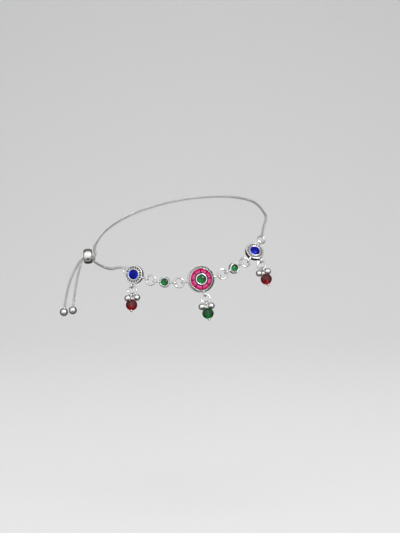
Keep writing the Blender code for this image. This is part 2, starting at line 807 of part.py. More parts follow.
def add_left_end_ring(charm_matrix, materials, parts):
    """The small ring through the ring soldered to the left charm, standing across its wire."""
    joint = soldered_ring_joint()
    across = Matrix.Rotation(math.atan2(joint.y, joint.x), 4, "Z")
    place = charm_matrix @ Matrix.Translation(joint) @ upright(across)
    ring = wire_ring(LEFT_END_RADIUS, LEFT_END_WIRE, SMALL_RING_FACETS, Matrix())
    add_part("left_end_ring", ring, materials["silver"], place, parts)


def add_chains(line, left_end, right_end, materials, parts):
    """The two chains, from the end rings through the slider to the end balls."""
    left_place, left_index = left_end
    right_place, right_index = right_end
    front_start = LEFT_END_RADIUS + LEFT_END_WIRE + CHAIN_GAP
    back_start = RIGHT_END_WIRE + CHAIN_GAP
    front, front_index = reach_along(line, left_index, -1, left_place, front_start)
    back, back_index = reach_along(line, right_index, 1, right_place, back_start)
    material = materials["chain_silver"]
    front_line = [front, *line[front_index - START_SKIP :: -1]]
    back_line = [back, *line[back_index + START_SKIP :]]
    chain_object("front_chain", front_line, material, parts)
    chain_object("back_chain", back_line, material, parts)
    for name, chain in (("front_tail_ball", front_line), ("back_tail_ball", back_line)):
        heading = (chain[-1] - chain[-2]).normalized()
        centre = chain[-1] + heading * (END_BALL_RADIUS - END_BALL_SINK)
        turn = UP.rotation_difference(-heading).to_matrix().to_4x4()
        place = Matrix.Translation(centre) @ turn
        add_part(name, end_ball_mesh(), materials["silver"], place, parts)


def build():
    for obj in list(bpy.data.objects):
        bpy.data.objects.remove(obj)
    parts = bpy.data.collections.new("payal_anklet")
    bpy.context.scene.collection.children.link(parts)
    materials = make_materials()
    line, middle_index = whole_way()
    matrices, left_end, right_end = lay_row(line, middle_index)
    add_row(matrices, materials, parts)
    add_left_end_ring(matrices["left_charm"], materials, parts)
    add_chains(line, left_end, right_end, materials, parts)
    turn = UP.rotation_difference(SLIDER_AXIS).to_matrix().to_4x4()
    place = Matrix.Translation(SLIDER_CENTRE) @ turn
    add_part("slider_bead", slider_mesh(), materials["silver"], place, parts)
    bpy.context.view_layer.update()


build()
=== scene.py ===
# %% [markdown]
# The payal anklet as the camera sees it: the imported model is loaded as the frame, and every CAD
# node is replaced by a finer piece in the same place. Metres, +Z up, the front of the anklet
# towards -Y.

import math
from collections import namedtuple

import bmesh
import bpy
import numpy as np
from mathutils import Matrix, Vector


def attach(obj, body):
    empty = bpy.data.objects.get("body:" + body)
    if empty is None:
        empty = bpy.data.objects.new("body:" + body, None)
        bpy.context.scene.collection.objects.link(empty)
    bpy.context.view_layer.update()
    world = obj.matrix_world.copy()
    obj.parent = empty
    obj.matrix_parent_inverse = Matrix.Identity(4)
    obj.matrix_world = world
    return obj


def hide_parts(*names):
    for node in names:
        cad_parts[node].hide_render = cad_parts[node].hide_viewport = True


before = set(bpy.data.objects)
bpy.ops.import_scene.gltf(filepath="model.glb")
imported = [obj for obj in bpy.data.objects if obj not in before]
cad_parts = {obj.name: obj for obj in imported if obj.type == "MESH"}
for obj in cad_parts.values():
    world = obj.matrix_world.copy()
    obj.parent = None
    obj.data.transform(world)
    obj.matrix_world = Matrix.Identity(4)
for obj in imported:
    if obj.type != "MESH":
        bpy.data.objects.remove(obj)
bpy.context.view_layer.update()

MM = 0.001
UP = Vector((0, 0, 1))
QUARTER_X = Matrix.Rotation(math.pi / 2, 4, "X")
QUARTER_Y = Matrix.Rotation(math.pi / 2, 4, "Y")

# %% [markdown]
# The sizes of the real pieces, as in the CAD source. A setting is a cast bowl that holds a domed
# stone, with an open channel round its bezel. The eyes are small rings on necks, cast with it.
# A connector has no lower eye, so its stand is 0.

# %% Sizes of the pieces
Setting = namedtuple(
    "Setting", "radius height bottom_of_stone stone_radius stone_wall stone_rise lower_stand"
)
MEDALLION = Setting(*(size * MM for size in (6.5, 2.05, 1.27, 2.03, 0.83, 0.85, 0.75)))
CHARM = Setting(*(size * MM for size in (4.4, 2.3, 1.37, 2.28, 0.73, 0.85, 1.07)))
CONNECTOR = Setting(*(size * MM for size in (2.6, 1.5, 0.92, 1.68, 0.58, 0.75, 0)))
EYE_HOLE = 0.65 * MM
EYE_WIRE = 0.32 * MM
EYE_STAND = 1.82 * MM
EYE_NECK = 0.36 * MM
LINK_GAP = 0.2 * MM
SOLDER_DEPTH = 0.3 * MM
SIDE_RING_RADIUS = 1.62 * MM
SIDE_RING_WIRE = 0.33 * MM
SIDE_RING_LEAN = 10.0
JUMP_RADIUS = 2.25 * MM
JUMP_WIRE = 0.4 * MM
LEFT_END_RADIUS = 1.08 * MM
LEFT_END_WIRE = 0.23 * MM
RIGHT_END_RADIUS = 1.83 * MM
RIGHT_END_WIRE = 0.37 * MM
DROP_RADIUS = 2.1 * MM
DROP_WIRE = 0.36 * MM
BALL_RADIUS = 1.55 * MM
BALL_EYE_HOLE = 0.52 * MM
BALL_EYE_WIRE = 0.2 * MM
BALL_SPREAD = 33.0
PIN_EYE_HOLE = 0.66 * MM
PIN_EYE_WIRE = 0.25 * MM
PIN_WIRE = 0.26 * MM
PIN_LENGTH = 2.55 * MM
PIN_HEAD = 0.62 * MM
PIN_TILT = 12.0
CRYSTAL_HEIGHT = 4.8 * MM
CRYSTAL_END_RADIUS = 1.3 * MM
CRYSTAL_BORE = 0.38 * MM
SLIDER_RADIUS = 3.7 * MM
SLIDER_BORE = 2.0 * MM
SLIDER_LENGTH = 4.1 * MM
SLIDER_CENTRE = Vector((-42.9, -2.0, -9.3)) * MM
SLIDER_AXIS = Vector((1, 0, 0.05)).normalized()
LANE_OFFSET = 0.9 * MM
LANE_DROP = 0.45 * MM
LANE_REACH = 0.22
END_BALL_RADIUS = 2.0 * MM
END_BALL_SINK = 0.35 * MM

# %% [markdown]
# Where a piece lies is read from its CAD node. A ring, a domed stone and the slider are thinnest
# along their own axis, so the axis is the direction in which their points spread least.

# %% Read the places of the nodes
BEYOND_RIM = 0.6 * EYE_STAND
SAME_EYE = 0.85


def node_points(name):
    """The different vertices of a CAD node."""
    return np.unique([vertex.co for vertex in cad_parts[name].data.vertices], axis=0)


def thin_axis(points):
    """The middle of the points, and the direction in which they spread least, out of the loop."""
    middle = points.mean(axis=0)
    _, directions = np.linalg.eigh(np.cov((points - middle).T))
    axis = Vector(directions[:, 0])
    if axis.x * middle[0] + axis.y * middle[1] < 0:
        axis.negate()
    return Vector(middle), axis


def turned_to(axis):
    """The turn that brings +Z to this axis."""
    return UP.rotation_difference(axis).to_matrix().to_4x4()


def axes_matrix(x_axis, y_axis, z_axis, origin):
    turn = Matrix((x_axis, y_axis, z_axis)).transposed().to_4x4()
    return Matrix.Translation(origin) @ turn


def eye_direction(flat, heading):
    """The direction of the eye that lies furthest towards a heading; flat holds the eyes' points."""
    tip = flat[np.argmax(flat @ np.array(heading))]
    length = np.linalg.norm(flat, axis=1) * np.linalg.norm(tip)
    return Vector(flat[flat @ tip > SAME_EYE * length].mean(axis=0)).normalized()


def setting_place(name, setting):
    """The matrix of a setting's own frame, and the angle of its lower eye in it."""
    stone = node_points(f"{name}_cabochon")
    middle, face = thin_axis(stone)
    lowest = ((stone - np.array(middle)) @ np.array(face)).min()
    origin = middle + face * (lowest - setting.bottom_of_stone + setting.height / 2)
    offsets = node_points(f"{name}_setting") - np.array(origin)
    flat = offsets - np.outer(offsets @ np.array(face), np.array(face))
    flat = flat[np.linalg.norm(flat, axis=1) > setting.radius + BEYOND_RIM]
    right = eye_direction(flat, (1, 0, 0))
    lower = eye_direction(flat, (0, 0, -1))
    upward = face.cross(right)
    place = axes_matrix(right, upward, face, origin)
    return place, math.atan2(lower.dot(upward), lower.dot(right))


def ring_place(name):
    """The matrix that lays a flat ring where a ring node is."""
    middle, axis = thin_axis(node_points(name))
    return Matrix.Translation(middle) @ turned_to(axis)


def drop_place(name):
    """The matrix of a drop's ring: -Z is down along the drop, and -Y faces out of the loop."""
    middle, outward = thin_axis(node_points(f"{name}_ring"))
    balls = [node_points(f"{name}_ball_{number}").mean(axis=0) for number in (1, 2)]
    down = Vector((balls[0] + balls[1]) / 2) - middle
    down = (down - outward * down.dot(outward)).normalized()
    return axes_matrix(down.cross(outward), -outward, -down, middle)


ROW = (
    ("left_charm", CHARM),
    ("left_connector", CONNECTOR),
    ("medallion", MEDALLION),
    ("right_connector", CONNECTOR),
    ("right_charm", CHARM),
)
places = {}
lower_eyes = {}
for name, setting in ROW:
    places[name], lower_eyes[name] = setting_place(name, setting)
    spot = [round(value / MM, 2) for value in places[name].translation]
    print(name, "at", spot, "lower eye at", round(math.degrees(lower_eyes[name]), 1))

# %% [markdown]
# The photograph was taken from the front and a little above, with a long lens. The middle of the
# picture is a point above the right of the drops, and the picture is 260 mm high there.

# %% Camera
CAMERA_TARGET = Vector((11.5, 0, -14.6)) * MM
CAMERA_DISTANCE = 0.75
CAMERA_ELEVATION = math.radians(8)
PICTURE_HEIGHT = 0.26
camera_data = bpy.data.cameras.new("camera")
camera_data.sensor_width = 36
camera_data.lens = camera_data.sensor_width * CAMERA_DISTANCE / PICTURE_HEIGHT
camera_data.clip_start = 0.01
camera = bpy.data.objects.new("camera", camera_data)
bpy.context.scene.collection.objects.link(camera)
camera_back = Vector((0, -math.cos(CAMERA_ELEVATION), math.sin(CAMERA_ELEVATION)))
camera.location = CAMERA_TARGET + camera_back * CAMERA_DISTANCE
camera.rotation_euler = (-camera_back).to_track_quat("-Z", "Y").to_euler()
bpy.context.scene.camera = camera
print("lens in mm:", round(camera_data.lens, 1))

# %% [markdown]
# The anklet floats over a plain pale floor that curves up into a wall. Large soft lights stand
# above and at both sides, and only light what isn't a mirror. What the silver and the glass
# reflect is a room that nothing else sees: bright in front and above, dark at the sides, which
# draws the dark edges of the wires, and dim behind, so that the backs of the settings show. One
# small lamp gives white glints, and one small black card gives the dark spots on the balls.
# Polished silver would be as white as the paper without them.

# %% Floor, reflections and lights
FLOOR_HEIGHT = -0.13
FLOOR_HALF_WIDTH = 2.0
WALL_DISTANCE = 0.9
COVE_RADIUS = 0.5
COVE_STEPS = 24
PAPER_COLOUR = (0.6, 0.595, 0.59)
PAPER_ROUGHNESS = 0.9


def fill(node, values):
    """Sets inputs of a shader node to plain values."""
    for name, value in values.items():
        node.inputs[name].default_value = value


def matt_material(name, colour):
    material = bpy.data.materials.new(name)
    material.use_nodes = True
    shader = material.node_tree.nodes["Principled BSDF"]
    fill(shader, {"Base Color": (*colour, 1), "Roughness": PAPER_ROUGHNESS})
    return material


def new_object(name, bm, material):
    """A smooth object made from a bmesh."""
    mesh = bpy.data.meshes.new(name)
    bm.to_mesh(mesh)
    bm.free()
    mesh.materials.append(material)
    mesh.shade_smooth()
    obj = bpy.data.objects.new(name, mesh)
    bpy.context.scene.collection.objects.link(obj)
    return obj


def add_stage(name, bm, material):
    obj = new_object(name, bm, material)
    return obj


bm = bmesh.new()
sweep = [bm.verts.new((-FLOOR_HALF_WIDTH, -FLOOR_HALF_WIDTH, FLOOR_HEIGHT))]
for step in range(COVE_STEPS + 1):
    angle = math.pi / 2 * step / COVE_STEPS
    back = WALL_DISTANCE - COVE_RADIUS + COVE_RADIUS * math.sin(angle)
    height = FLOOR_HEIGHT + COVE_RADIUS * (1 - math.cos(angle))
    sweep.append(bm.verts.new((-FLOOR_HALF_WIDTH, back, height)))
sweep.append(bm.verts.new((-FLOOR_HALF_WIDTH, WALL_DISTANCE, FLOOR_HALF_WIDTH)))
edges = [bm.edges.new(pair) for pair in zip(sweep, sweep[1:])]
swept = bmesh.ops.extrude_edge_only(bm, edges=edges)["geom"]
swept = [item for item in swept if isinstance(item, bmesh.types.BMVert)]
bmesh.ops.translate(bm, vec=(2 * FLOOR_HALF_WIDTH, 0, 0), verts=swept)
bmesh.ops.recalc_face_normals(bm, faces=bm.faces)
paper = add_stage("floor", bm, matt_material("floor_paper", PAPER_COLOUR))


# The room that only the reflections and refractions see. A band is a place from -1 to 1,
# from the lowest to the highest or from the front to the back, and the light there.
ROOM_RADIUS = 1.8
HEIGHT_BANDS = ((-1, 0.4), (-0.6, 0.4), (-0.25, 0.7), (0, 1), (0.3, 1), (0.55, 1.5), (1, 1.3))
DEPTH_BANDS = ((-1, 0.92), (-0.7, 0.86), (-0.2, 0.5), (0.08, 0.05), (0.75, 0.02))
DEPTH_BANDS += ((0.92, 0.22), (1, 0.25))
CEILING_BANDS = ((-1, 0), (0.6, 0), (0.85, 0.12), (1, 0.2))
LAMP_DIRECTION = Vector((0.52, -0.6, 0.61)).normalized()
LAMP_DEGREES = 8
LAMP_LIGHT = 14
CARD_DIRECTION = Vector((0, -0.83, -0.55)).normalized()
CARD_DEGREES = 15
CARD_LIGHT = 0.03
PATCH_EDGE = 2


def banded(nodes, links, source, bands):
    """The light of each band, for a source that runs from -1 to 1."""
    ramp = nodes.new("ShaderNodeValToRGB")
    while len(ramp.color_ramp.elements) < len(bands):
        ramp.color_ramp.elements.new(0.5)
    for element, (place, value) in zip(ramp.color_ramp.elements, bands):
        element.position = 0.5 + 0.5 * place
        element.color = (value, value, value, 1)
    half = combined(nodes, links, "MULTIPLY_ADD", source, 0.5)
    half.node.inputs[2].default_value = 0.5
    links.new(half, ramp.inputs["Fac"])
    return ramp.outputs["Color"]


def combined(nodes, links, operation, first, second):
    """A sum or product of a socket and a second socket or plain value."""
    math_node = nodes.new("ShaderNodeMath")
    math_node.operation = operation
    links.new(first, math_node.inputs[0])
    if isinstance(second, float):
        math_node.inputs[1].default_value = second
    else:
        links.new(second, math_node.inputs[1])
    return math_node.outputs[0]


def mapped(nodes, links, source, low, high, start=0.3, end=0.7):
    """Source, stretched from start..end to low..high."""
    stretch = nodes.new("ShaderNodeMapRange")
    fill(stretch, {"From Min": start, "From Max": end, "To Min": low, "To Max": high})
    links.new(source, stretch.inputs["Value"])
    return stretch.outputs["Result"]


def patch(nodes, links, source, direction, degrees, inside, outside):
    """One value within so many degrees of a direction of the room, and another outside."""
    dot = nodes.new("ShaderNodeVectorMath")
    dot.operation = "DOT_PRODUCT"
    dot.inputs[1].default_value = direction
    links.new(source, dot.inputs[0])
    start = math.cos(math.radians(degrees + PATCH_EDGE))
    end = math.cos(math.radians(degrees))
    return mapped(nodes, links, dot.outputs["Value"], outside, inside, start, end)


def room_material():
    """A bright front and ceiling, dark sides, a dim back, a lamp and a small black card."""
    material = bpy.data.materials.new("reflection_room")
    material.use_nodes = True
    nodes = material.node_tree.nodes
    links = material.node_tree.links
    nodes.clear()
    place = nodes.new("ShaderNodeTexCoord")
    direction = nodes.new("ShaderNodeVectorMath")
    direction.operation = "NORMALIZE"
    split = nodes.new("ShaderNodeSeparateXYZ")
    light = nodes.new("ShaderNodeEmission")
    output = nodes.new("ShaderNodeOutputMaterial")
    links.new(place.outputs["Object"], direction.inputs[0])
    links.new(direction.outputs[0], split.inputs[0])
    height = banded(nodes, links, split.outputs["Z"], HEIGHT_BANDS)
    depth = banded(nodes, links, split.outputs["Y"], DEPTH_BANDS)
    ceiling = banded(nodes, links, split.outputs["Z"], CEILING_BANDS)
    towards = direction.outputs[0]
    lamp = patch(nodes, links, towards, LAMP_DIRECTION, LAMP_DEGREES, LAMP_LIGHT, 0)
    card = patch(nodes, links, towards, CARD_DIRECTION, CARD_DEGREES, CARD_LIGHT, 1)
    walls = combined(nodes, links, "MULTIPLY", height, depth)
    walls = combined(nodes, links, "MULTIPLY", walls, card)
    walls = combined(nodes, links, "ADD", walls, ceiling)
    links.new(combined(nodes, links, "ADD", walls, lamp), light.inputs["Strength"])
    links.new(light.outputs[0], output.inputs["Surface"])
    material.cycles.emission_sampling = "NONE"
    return material


bm = bmesh.new()
bmesh.ops.create_uvsphere(bm, u_segments=48, v_segments=32, radius=ROOM_RADIUS)
room = add_stage("reflection_room", bm, room_material())
room.visible_camera = False
room.visible_diffuse = False
room.visible_shadow = False
paper.visible_glossy = False
paper.visible_transmission = False


# Each light's place, width, height and power
LIGHTS = {
    "top_light": ((0.05, -0.25, 0.75), 0.7, 0.5, 5.5),
    "left_light": ((-0.75, -0.35, 0.3), 0.3, 0.6, 2.2),
    "right_light": ((0.75, -0.45, 0.35), 0.3, 0.6, 2.7),
    "front_light": ((0.25, -0.85, 0.55), 0.35, 0.2, 1.4),
    "back_light": ((0.0, 0.55, 0.7), 1.2, 0.4, 4.2),
}
LIGHT_TARGET = Vector((0, -0.02, -0.015))
SKY_COLOUR = (0.85, 0.9, 1, 1)
SKY_LIGHT = 0.22


def add_light(name, location, width, height, power):
    """A soft rectangular light that faces the middle of the anklet's front."""
    light = bpy.data.lights.new(name, "AREA")
    light.shape = "RECTANGLE"
    light.size = width
    light.size_y = height
    light.energy = power
    obj = bpy.data.objects.new(name, light)
    bpy.context.scene.collection.objects.link(obj)
    obj.location = location
    aim = LIGHT_TARGET - Vector(location)
    obj.rotation_euler = aim.to_track_quat("-Z", "Y").to_euler()
    obj.visible_glossy = False


for name, (location, width, height, power) in LIGHTS.items():
    add_light(name, location, width, height, power)
world = bpy.data.worlds.new("studio")
world.use_nodes = True
sky = world.node_tree.nodes["Background"]
fill(sky, {"Color": SKY_COLOUR, "Strength": SKY_LIGHT})
bpy.context.scene.world = world
bpy.context.scene.view_settings.view_transform = "Standard"

# %% [markdown]
# Real silver isn't one flat colour. Handling leaves fine scratches and slightly duller patches,
# and the recesses of the cast settings keep the black of the oxidising bath, which was polished
# away from the high places only. The chain's links are made darker on their inner sides with the
# same attribute. The attribute "oxide" says how black a place is.

# %% Silver finishes
# Lumps of noise a metre, and how deep they are
PATCH_SCALE = 450
SCRATCH_SCALE = 3200
SCRATCH_DEPTH = 0.02 * MM
GRAIN_SCALE = 1500
GRAIN_DEPTH = 0.03 * MM
GRAIN_BUMP = 0.35
BLACK_ROUGHNESS = 0.55
finishes = {}


def shader_nodes(name):
    """The nodes, links and main shader of a new finish."""
    material = bpy.data.materials.new(name)
    finishes[name] = material
    material.use_nodes = True
    nodes = material.node_tree.nodes
    return nodes, material.node_tree.links, nodes["Principled BSDF"]


def object_noise(nodes, links, scale, detail):
    """Noise on the object's own coordinates; scale is in lumps a metre."""
    place = nodes.new("ShaderNodeTexCoord")
    noise = nodes.new("ShaderNodeTexNoise")
    fill(noise, {"Scale": scale, "Detail": detail})
    links.new(place.outputs["Object"], noise.inputs["Vector"])
    return noise


def mixed_colour(nodes, links, factor, first, second):
    """The first colour where the factor is 0, the second where it is 1."""
    mix = nodes.new("ShaderNodeMix")
    mix.data_type = "RGBA"
    fill(mix, {"A": (*first, 1), "B": (*second, 1)})
    links.new(factor, mix.inputs["Factor"])
    return mix.outputs["Result"]


def uneven_attribute(nodes, links, name, noise, low, high):
    """A vertex attribute with noise from low to high added to it, kept within 0 and 1."""
    attribute = nodes.new("ShaderNodeAttribute")
    attribute.attribute_name = name
    uneven = mapped(nodes, links, noise.outputs[0], low, high)
    total = combined(nodes, links, "ADD", attribute.outputs["Fac"], uneven)
    total.node.use_clamp = True
    return total


def add_bump(nodes, links, shader, height, distance, strength):
    bump = nodes.new("ShaderNodeBump")
    fill(bump, {"Distance": distance, "Strength": strength})
    links.new(height, bump.inputs["Height"])
    links.new(bump.outputs["Normal"], shader.inputs["Normal"])


def silver_material(name, bright, dull, roughness, bump_strength):
    """Polished silver with duller patches, and fine scratches as bump."""
    nodes, links, shader = shader_nodes(name)
    patches = object_noise(nodes, links, PATCH_SCALE, 4)
    share = mapped(nodes, links, patches.outputs[0], 0, 1)
    colour = mixed_colour(nodes, links, share, bright, dull)
    links.new(colour, shader.inputs["Base Color"])
    rough = mapped(nodes, links, patches.outputs[0], roughness, 1.9 * roughness)
    links.new(rough, shader.inputs["Roughness"])
    fill(shader, {"Metallic": 1})
    scratches = object_noise(nodes, links, SCRATCH_SCALE, 3)
    add_bump(nodes, links, shader, scratches.outputs[0], SCRATCH_DEPTH, bump_strength)


def oxidised_material(name, bright, black, roughness):
    """Silver that is black where the attribute oxide says so, with an uneven edge."""
    nodes, links, shader = shader_nodes(name)
    grain = object_noise(nodes, links, GRAIN_SCALE, 5)
    oxide = uneven_attribute(nodes, links, "oxide", grain, -0.22, 0.1)
    colour = mixed_colour(nodes, links, oxide, bright, black)
    links.new(colour, shader.inputs["Base Color"])
    rough = mapped(nodes, links, oxide, roughness, BLACK_ROUGHNESS, 0, 1)
    links.new(rough, shader.inputs["Roughness"])
    fill(shader, {"Metallic": 1})
    add_bump(nodes, links, shader, grain.outputs[0], GRAIN_DEPTH, GRAIN_BUMP)


silver_material("polished_silver", (0.93, 0.92, 0.9), (0.82, 0.82, 0.81), 0.07, 0.12)
oxidised_material("chain_silver", (0.85, 0.85, 0.83), (0.02, 0.02, 0.02), 0.12)
oxidised_material("oxidised_silver", (0.95, 0.95, 0.94), (0.008, 0.008, 0.01), 0.17)
print("silver finishes:", list(finishes))

# %% [markdown]
# The stones are coloured glass over foil: deep colour where the dome is thick, and lighter where
# light coming back from the foil is painted into the colour. A vertex attribute says where that
# painted light lies. The hanging crystals are clear coloured glass, cut with facets, so that they
# let light through; painted light makes them lighter towards the bottom.

# %% Glass finishes
CLOUD_SCALE = 700
GLASS_IOR = 1.6


def glass_material(name, colours, transmission, specular, tint):
    """Coloured glass: deep, or lighter where light is painted into it by a vertex attribute, with a
    little cloud in it.
    """
    nodes, links, shader = shader_nodes(name)
    cloud = object_noise(nodes, links, CLOUD_SCALE, 3)
    painted_glow = uneven_attribute(nodes, links, "painted_glow", cloud, -0.12, 0.12)
    ramp = nodes.new("ShaderNodeValToRGB")
    ramp.color_ramp.elements.new(0.5)
    for element, position, colour in zip(ramp.color_ramp.elements, (0, 0.5, 1), colours):
        element.position = position
        element.color = (*colour, 1)
    links.new(painted_glow, ramp.inputs["Fac"])
    links.new(ramp.outputs["Color"], shader.inputs["Base Color"])
    rough = mapped(nodes, links, cloud.outputs[0], 0.02, 0.05)
    links.new(rough, shader.inputs["Roughness"])
    fill(shader, {"IOR": GLASS_IOR, "Transmission Weight": transmission})
    fill(shader, {"Specular IOR Level": specular, "Specular Tint": (*tint, 1)})


# Each is the deep colour, then two lighter colours for the painted light.
BLUES = ((0.0, 0.001, 0.16), (0.001, 0.006, 0.45), (0.006, 0.045, 0.9))
GREENS = ((0.0, 0.02, 0.005), (0.0, 0.12, 0.02), (0.006, 0.3, 0.05))
PINKS = ((0.1, 0.0, 0.02), (0.6, 0.003, 0.11), (0.85, 0.17, 0.5))
DARK_REDS = ((0.12, 0.0, 0.004), (0.35, 0.003, 0.01), (0.75, 0.015, 0.03))
DARK_GREENS = ((0.0, 0.08, 0.02), (0.002, 0.2, 0.04), (0.015, 0.5, 0.08))
glass_material("blue_glass", BLUES, 0.0, 0.35, (0.3, 0.4, 1))
glass_material("green_glass", GREENS, 0.0, 0.6, (0.45, 1, 0.55))
glass_material("pink_glass", PINKS, 0.0, 0.6, (1, 0.5, 0.8))
glass_material("garnet_crystal", DARK_REDS, 0.95, 0.45, (1, 0.9, 0.9))
glass_material("green_crystal", DARK_GREENS, 0.95, 0.45, (0.9, 1, 0.92))
print("all finishes:", list(finishes))

# %% [markdown]
# Every round piece is turned: a profile or a circle is spun about an axis, which gives even
# facets and closed seams. A piece is then laid in its place, and its faces are made to point out.

# %% Helpers for the pieces
WELD = 0.0001 * MM
SMOOTH_ANGLE = math.radians(35)
FLAT_ANGLE = math.radians(8)
ROUND_SIDES = 20


def new_bmesh():
    """An empty bmesh with the attributes that the finishes read."""
    bm = bmesh.new()
    bm.verts.layers.float.new("oxide")
    bm.verts.layers.float.new("painted_glow")
    return bm


def spun(bm, verts, edges, steps, angle=math.tau):
    """Spins the vertices and edges round Z, closed where the turn is full."""
    full = angle > math.tau - WELD
    geometry = [*verts, *edges]
    bmesh.ops.spin(
        bm, geom=geometry, cent=(0, 0, 0), axis=UP, angle=angle, steps=steps, use_merge=full
    )


def add_turned(bm, profile, steps, matrix=Matrix()):
    """Turns points (radius, height) round Z. Returns the vertices."""
    before = set(bm.verts)
    verts = [bm.verts.new((radius, 0, height)) for radius, height in profile]
    edges = [bm.edges.new(pair) for pair in zip(verts, verts[1:])]
    spun(bm, verts, edges, steps)
    made = [vertex for vertex in bm.verts if vertex not in before]
    bmesh.ops.remove_doubles(bm, verts=made, dist=WELD)
    made = [vertex for vertex in bm.verts if vertex not in before]
    bmesh.ops.transform(bm, matrix=matrix, verts=made)
    return made


def add_ring(bm, radius, wire, facets, matrix=Matrix(), cut=0.0):
    """A round wire ring in the XY plane; cut is the width of the hairline where it was closed."""
    around, sides = facets
    before = set(bm.verts)
    stand = Matrix.Translation((radius, 0, 0)) @ QUARTER_X
    circle = bmesh.ops.create_circle(bm, segments=sides, radius=wire, matrix=stand)["verts"]
    edges = list({edge for vertex in circle for edge in vertex.link_edges})
    spun(bm, circle, edges, around, math.tau - cut / radius)
    made = [vertex for vertex in bm.verts if vertex not in before]
    if cut:
        open_edges = {e for vertex in made for e in vertex.link_edges if e.is_boundary}
        bmesh.ops.holes_fill(bm, edges=list(open_edges))
    bmesh.ops.transform(bm, matrix=matrix, verts=made)
    return made


def add_ball(bm, radius, centre, facets=(40, 24)):
    place = Matrix.Translation(centre)
    around, rows = facets
    bmesh.ops.create_uvsphere(
        bm, u_segments=around, v_segments=rows, radius=radius, matrix=place
    )


def add_rod(bm, radius, start, end):
    """A straight piece of round wire from start to end."""
    place = Matrix.Translation((start + end) / 2) @ turned_to(end - start)
    bmesh.ops.create_cone(
        bm,
        cap_ends=True,
        segments=ROUND_SIDES,
        radius1=radius,
        radius2=radius,
        depth=(end - start).length,
        matrix=place,
    )


def arc(centre, radii, start, end, steps):
    """Points (radius, height) along part of an ellipse, its angles in degrees."""
    angles = [math.radians(start + (end - start) * step / steps) for step in range(steps + 1)]
    return [
        (centre[0] + radii[0] * math.cos(angle), centre[1] + radii[1] * math.sin(angle))
        for angle in angles
    ]


def paint(bm, verts, layer_name, value):
    layer = bm.verts.layers.float[layer_name]
    for vertex in verts:
        vertex[layer] = value


def add_piece(name, bm, slot, nodes, place=Matrix(), angle=SMOOTH_ANGLE):
    """Makes a piece in its place, for these CAD nodes, in the finish that the slot names."""
    bmesh.ops.transform(bm, matrix=place, verts=bm.verts)
    bmesh.ops.recalc_face_normals(bm, faces=bm.faces)
    obj = new_object(name, bm, finishes[slot])
    obj.data.set_sharp_from_angle(angle=angle)
    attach(obj, "root")
    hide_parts(*nodes)
    return obj


print("weld distance in mm:", WELD / MM)

# %% [markdown]
# Jump rings are bent from round wire and pressed shut, which leaves a hairline where the two ends
# meet. The rings at the two ends of the row are the same, in their own sizes. Each is turned so
# that the join doesn't lie where it hooks into its neighbour.

# %% Jump rings and end rings
RING_FACETS = (72, ROUND_SIDES)
RING_CUT = 0.05 * MM
JOIN_ANGLES = {"jump_ring_1": 70, "jump_ring_2": -100, "jump_ring_3": 105, "jump_ring_4": -75}
LEFT_END_JOIN = 95
RIGHT_END_JOIN = 100


def add_link_ring(node, radius, wire, join_angle):
    bm = new_bmesh()
    turn = Matrix.Rotation(math.radians(join_angle), 4, "Z")
    add_ring(bm, radius, wire, RING_FACETS, turn, RING_CUT)
    add_piece(f"{node}_wire", bm, "polished_silver", [node], ring_place(node))


for node, join_angle in JOIN_ANGLES.items():
    add_link_ring(node, JUMP_RADIUS, JUMP_WIRE, join_angle)
add_link_ring("left_end_ring", LEFT_END_RADIUS, LEFT_END_WIRE, LEFT_END_JOIN)
add_link_ring("right_end_ring", RIGHT_END_RADIUS, RIGHT_END_WIRE, RIGHT_END_JOIN)
print("rings:", len(JOIN_ANGLES) + 2)

# %% [markdown]
# The eyes at the rim are cast with the setting: a small ring that stands across the face, on a
# short neck that swells into the rim. The left charm also has a ring soldered flat to its side.
# Every setting is made in two steps: its bowl is turned from a profile that runs from the middle
# of the stone's seat to the middle of the back, and then gets its eyes.

# %% Eyes on the settings
SEAT_GAP = 0.07 * MM
BACK_CHAMFER = 0.2 * MM
SLOT_OXIDE = 1.3
EYE_FACETS = (36, 14)
NECK_FLARE = 0.16 * MM
NECK_BEND = 0.3
JOINT_OXIDE = 0.02


def add_neck(bm, setting, direction, tip):
    """The flared neck of an eye, from inside the rim to the tip."""
    root = setting.radius - SOLDER_DEPTH
    length = tip - root
    bend = SOLDER_DEPTH + NECK_BEND * (length - SOLDER_DEPTH)
    neck = [(0, 0), (EYE_NECK + NECK_FLARE, 0), (EYE_NECK + NECK_FLARE, SOLDER_DEPTH)]
    neck += [(EYE_NECK + NECK_BEND * NECK_FLARE, bend), (EYE_NECK, length), (0, length)]
    place = Matrix.Translation(direction * root) @ turned_to(direction)
    return add_turned(bm, neck, ROUND_SIDES, place)


def add_eye(bm, setting, angle, stand):
    """An eye that stands this far off the rim. One that stands close to it has no neck."""
    direction = Vector((math.cos(angle), math.sin(angle), 0))
    turn = Matrix.Rotation(angle, 4, "Z") @ QUARTER_X
    place = Matrix.Translation(direction * (setting.radius + stand)) @ turn
    made = add_ring(bm, EYE_HOLE + EYE_WIRE, EYE_WIRE, EYE_FACETS, place)
    if stand > EYE_HOLE + EYE_WIRE:
        tip = setting.radius + stand - EYE_HOLE - EYE_WIRE
        made += add_neck(bm, setting, direction, tip)
    paint(bm, made, "oxide", 0)


def add_side_ring(bm):
    """The ring that is soldered to the left side of the left charm."""
    lean = math.radians(180 - SIDE_RING_LEAN)
    direction = Vector((math.cos(lean), math.sin(lean), 0))
    reach = CHARM.radius + SIDE_RING_WIRE - SOLDER_DEPTH
    place = Matrix.Translation(direction * reach)
    made = add_ring(bm, SIDE_RING_RADIUS, SIDE_RING_WIRE, RING_FACETS, place)
    paint(bm, made, "oxide", JOINT_OXIDE)


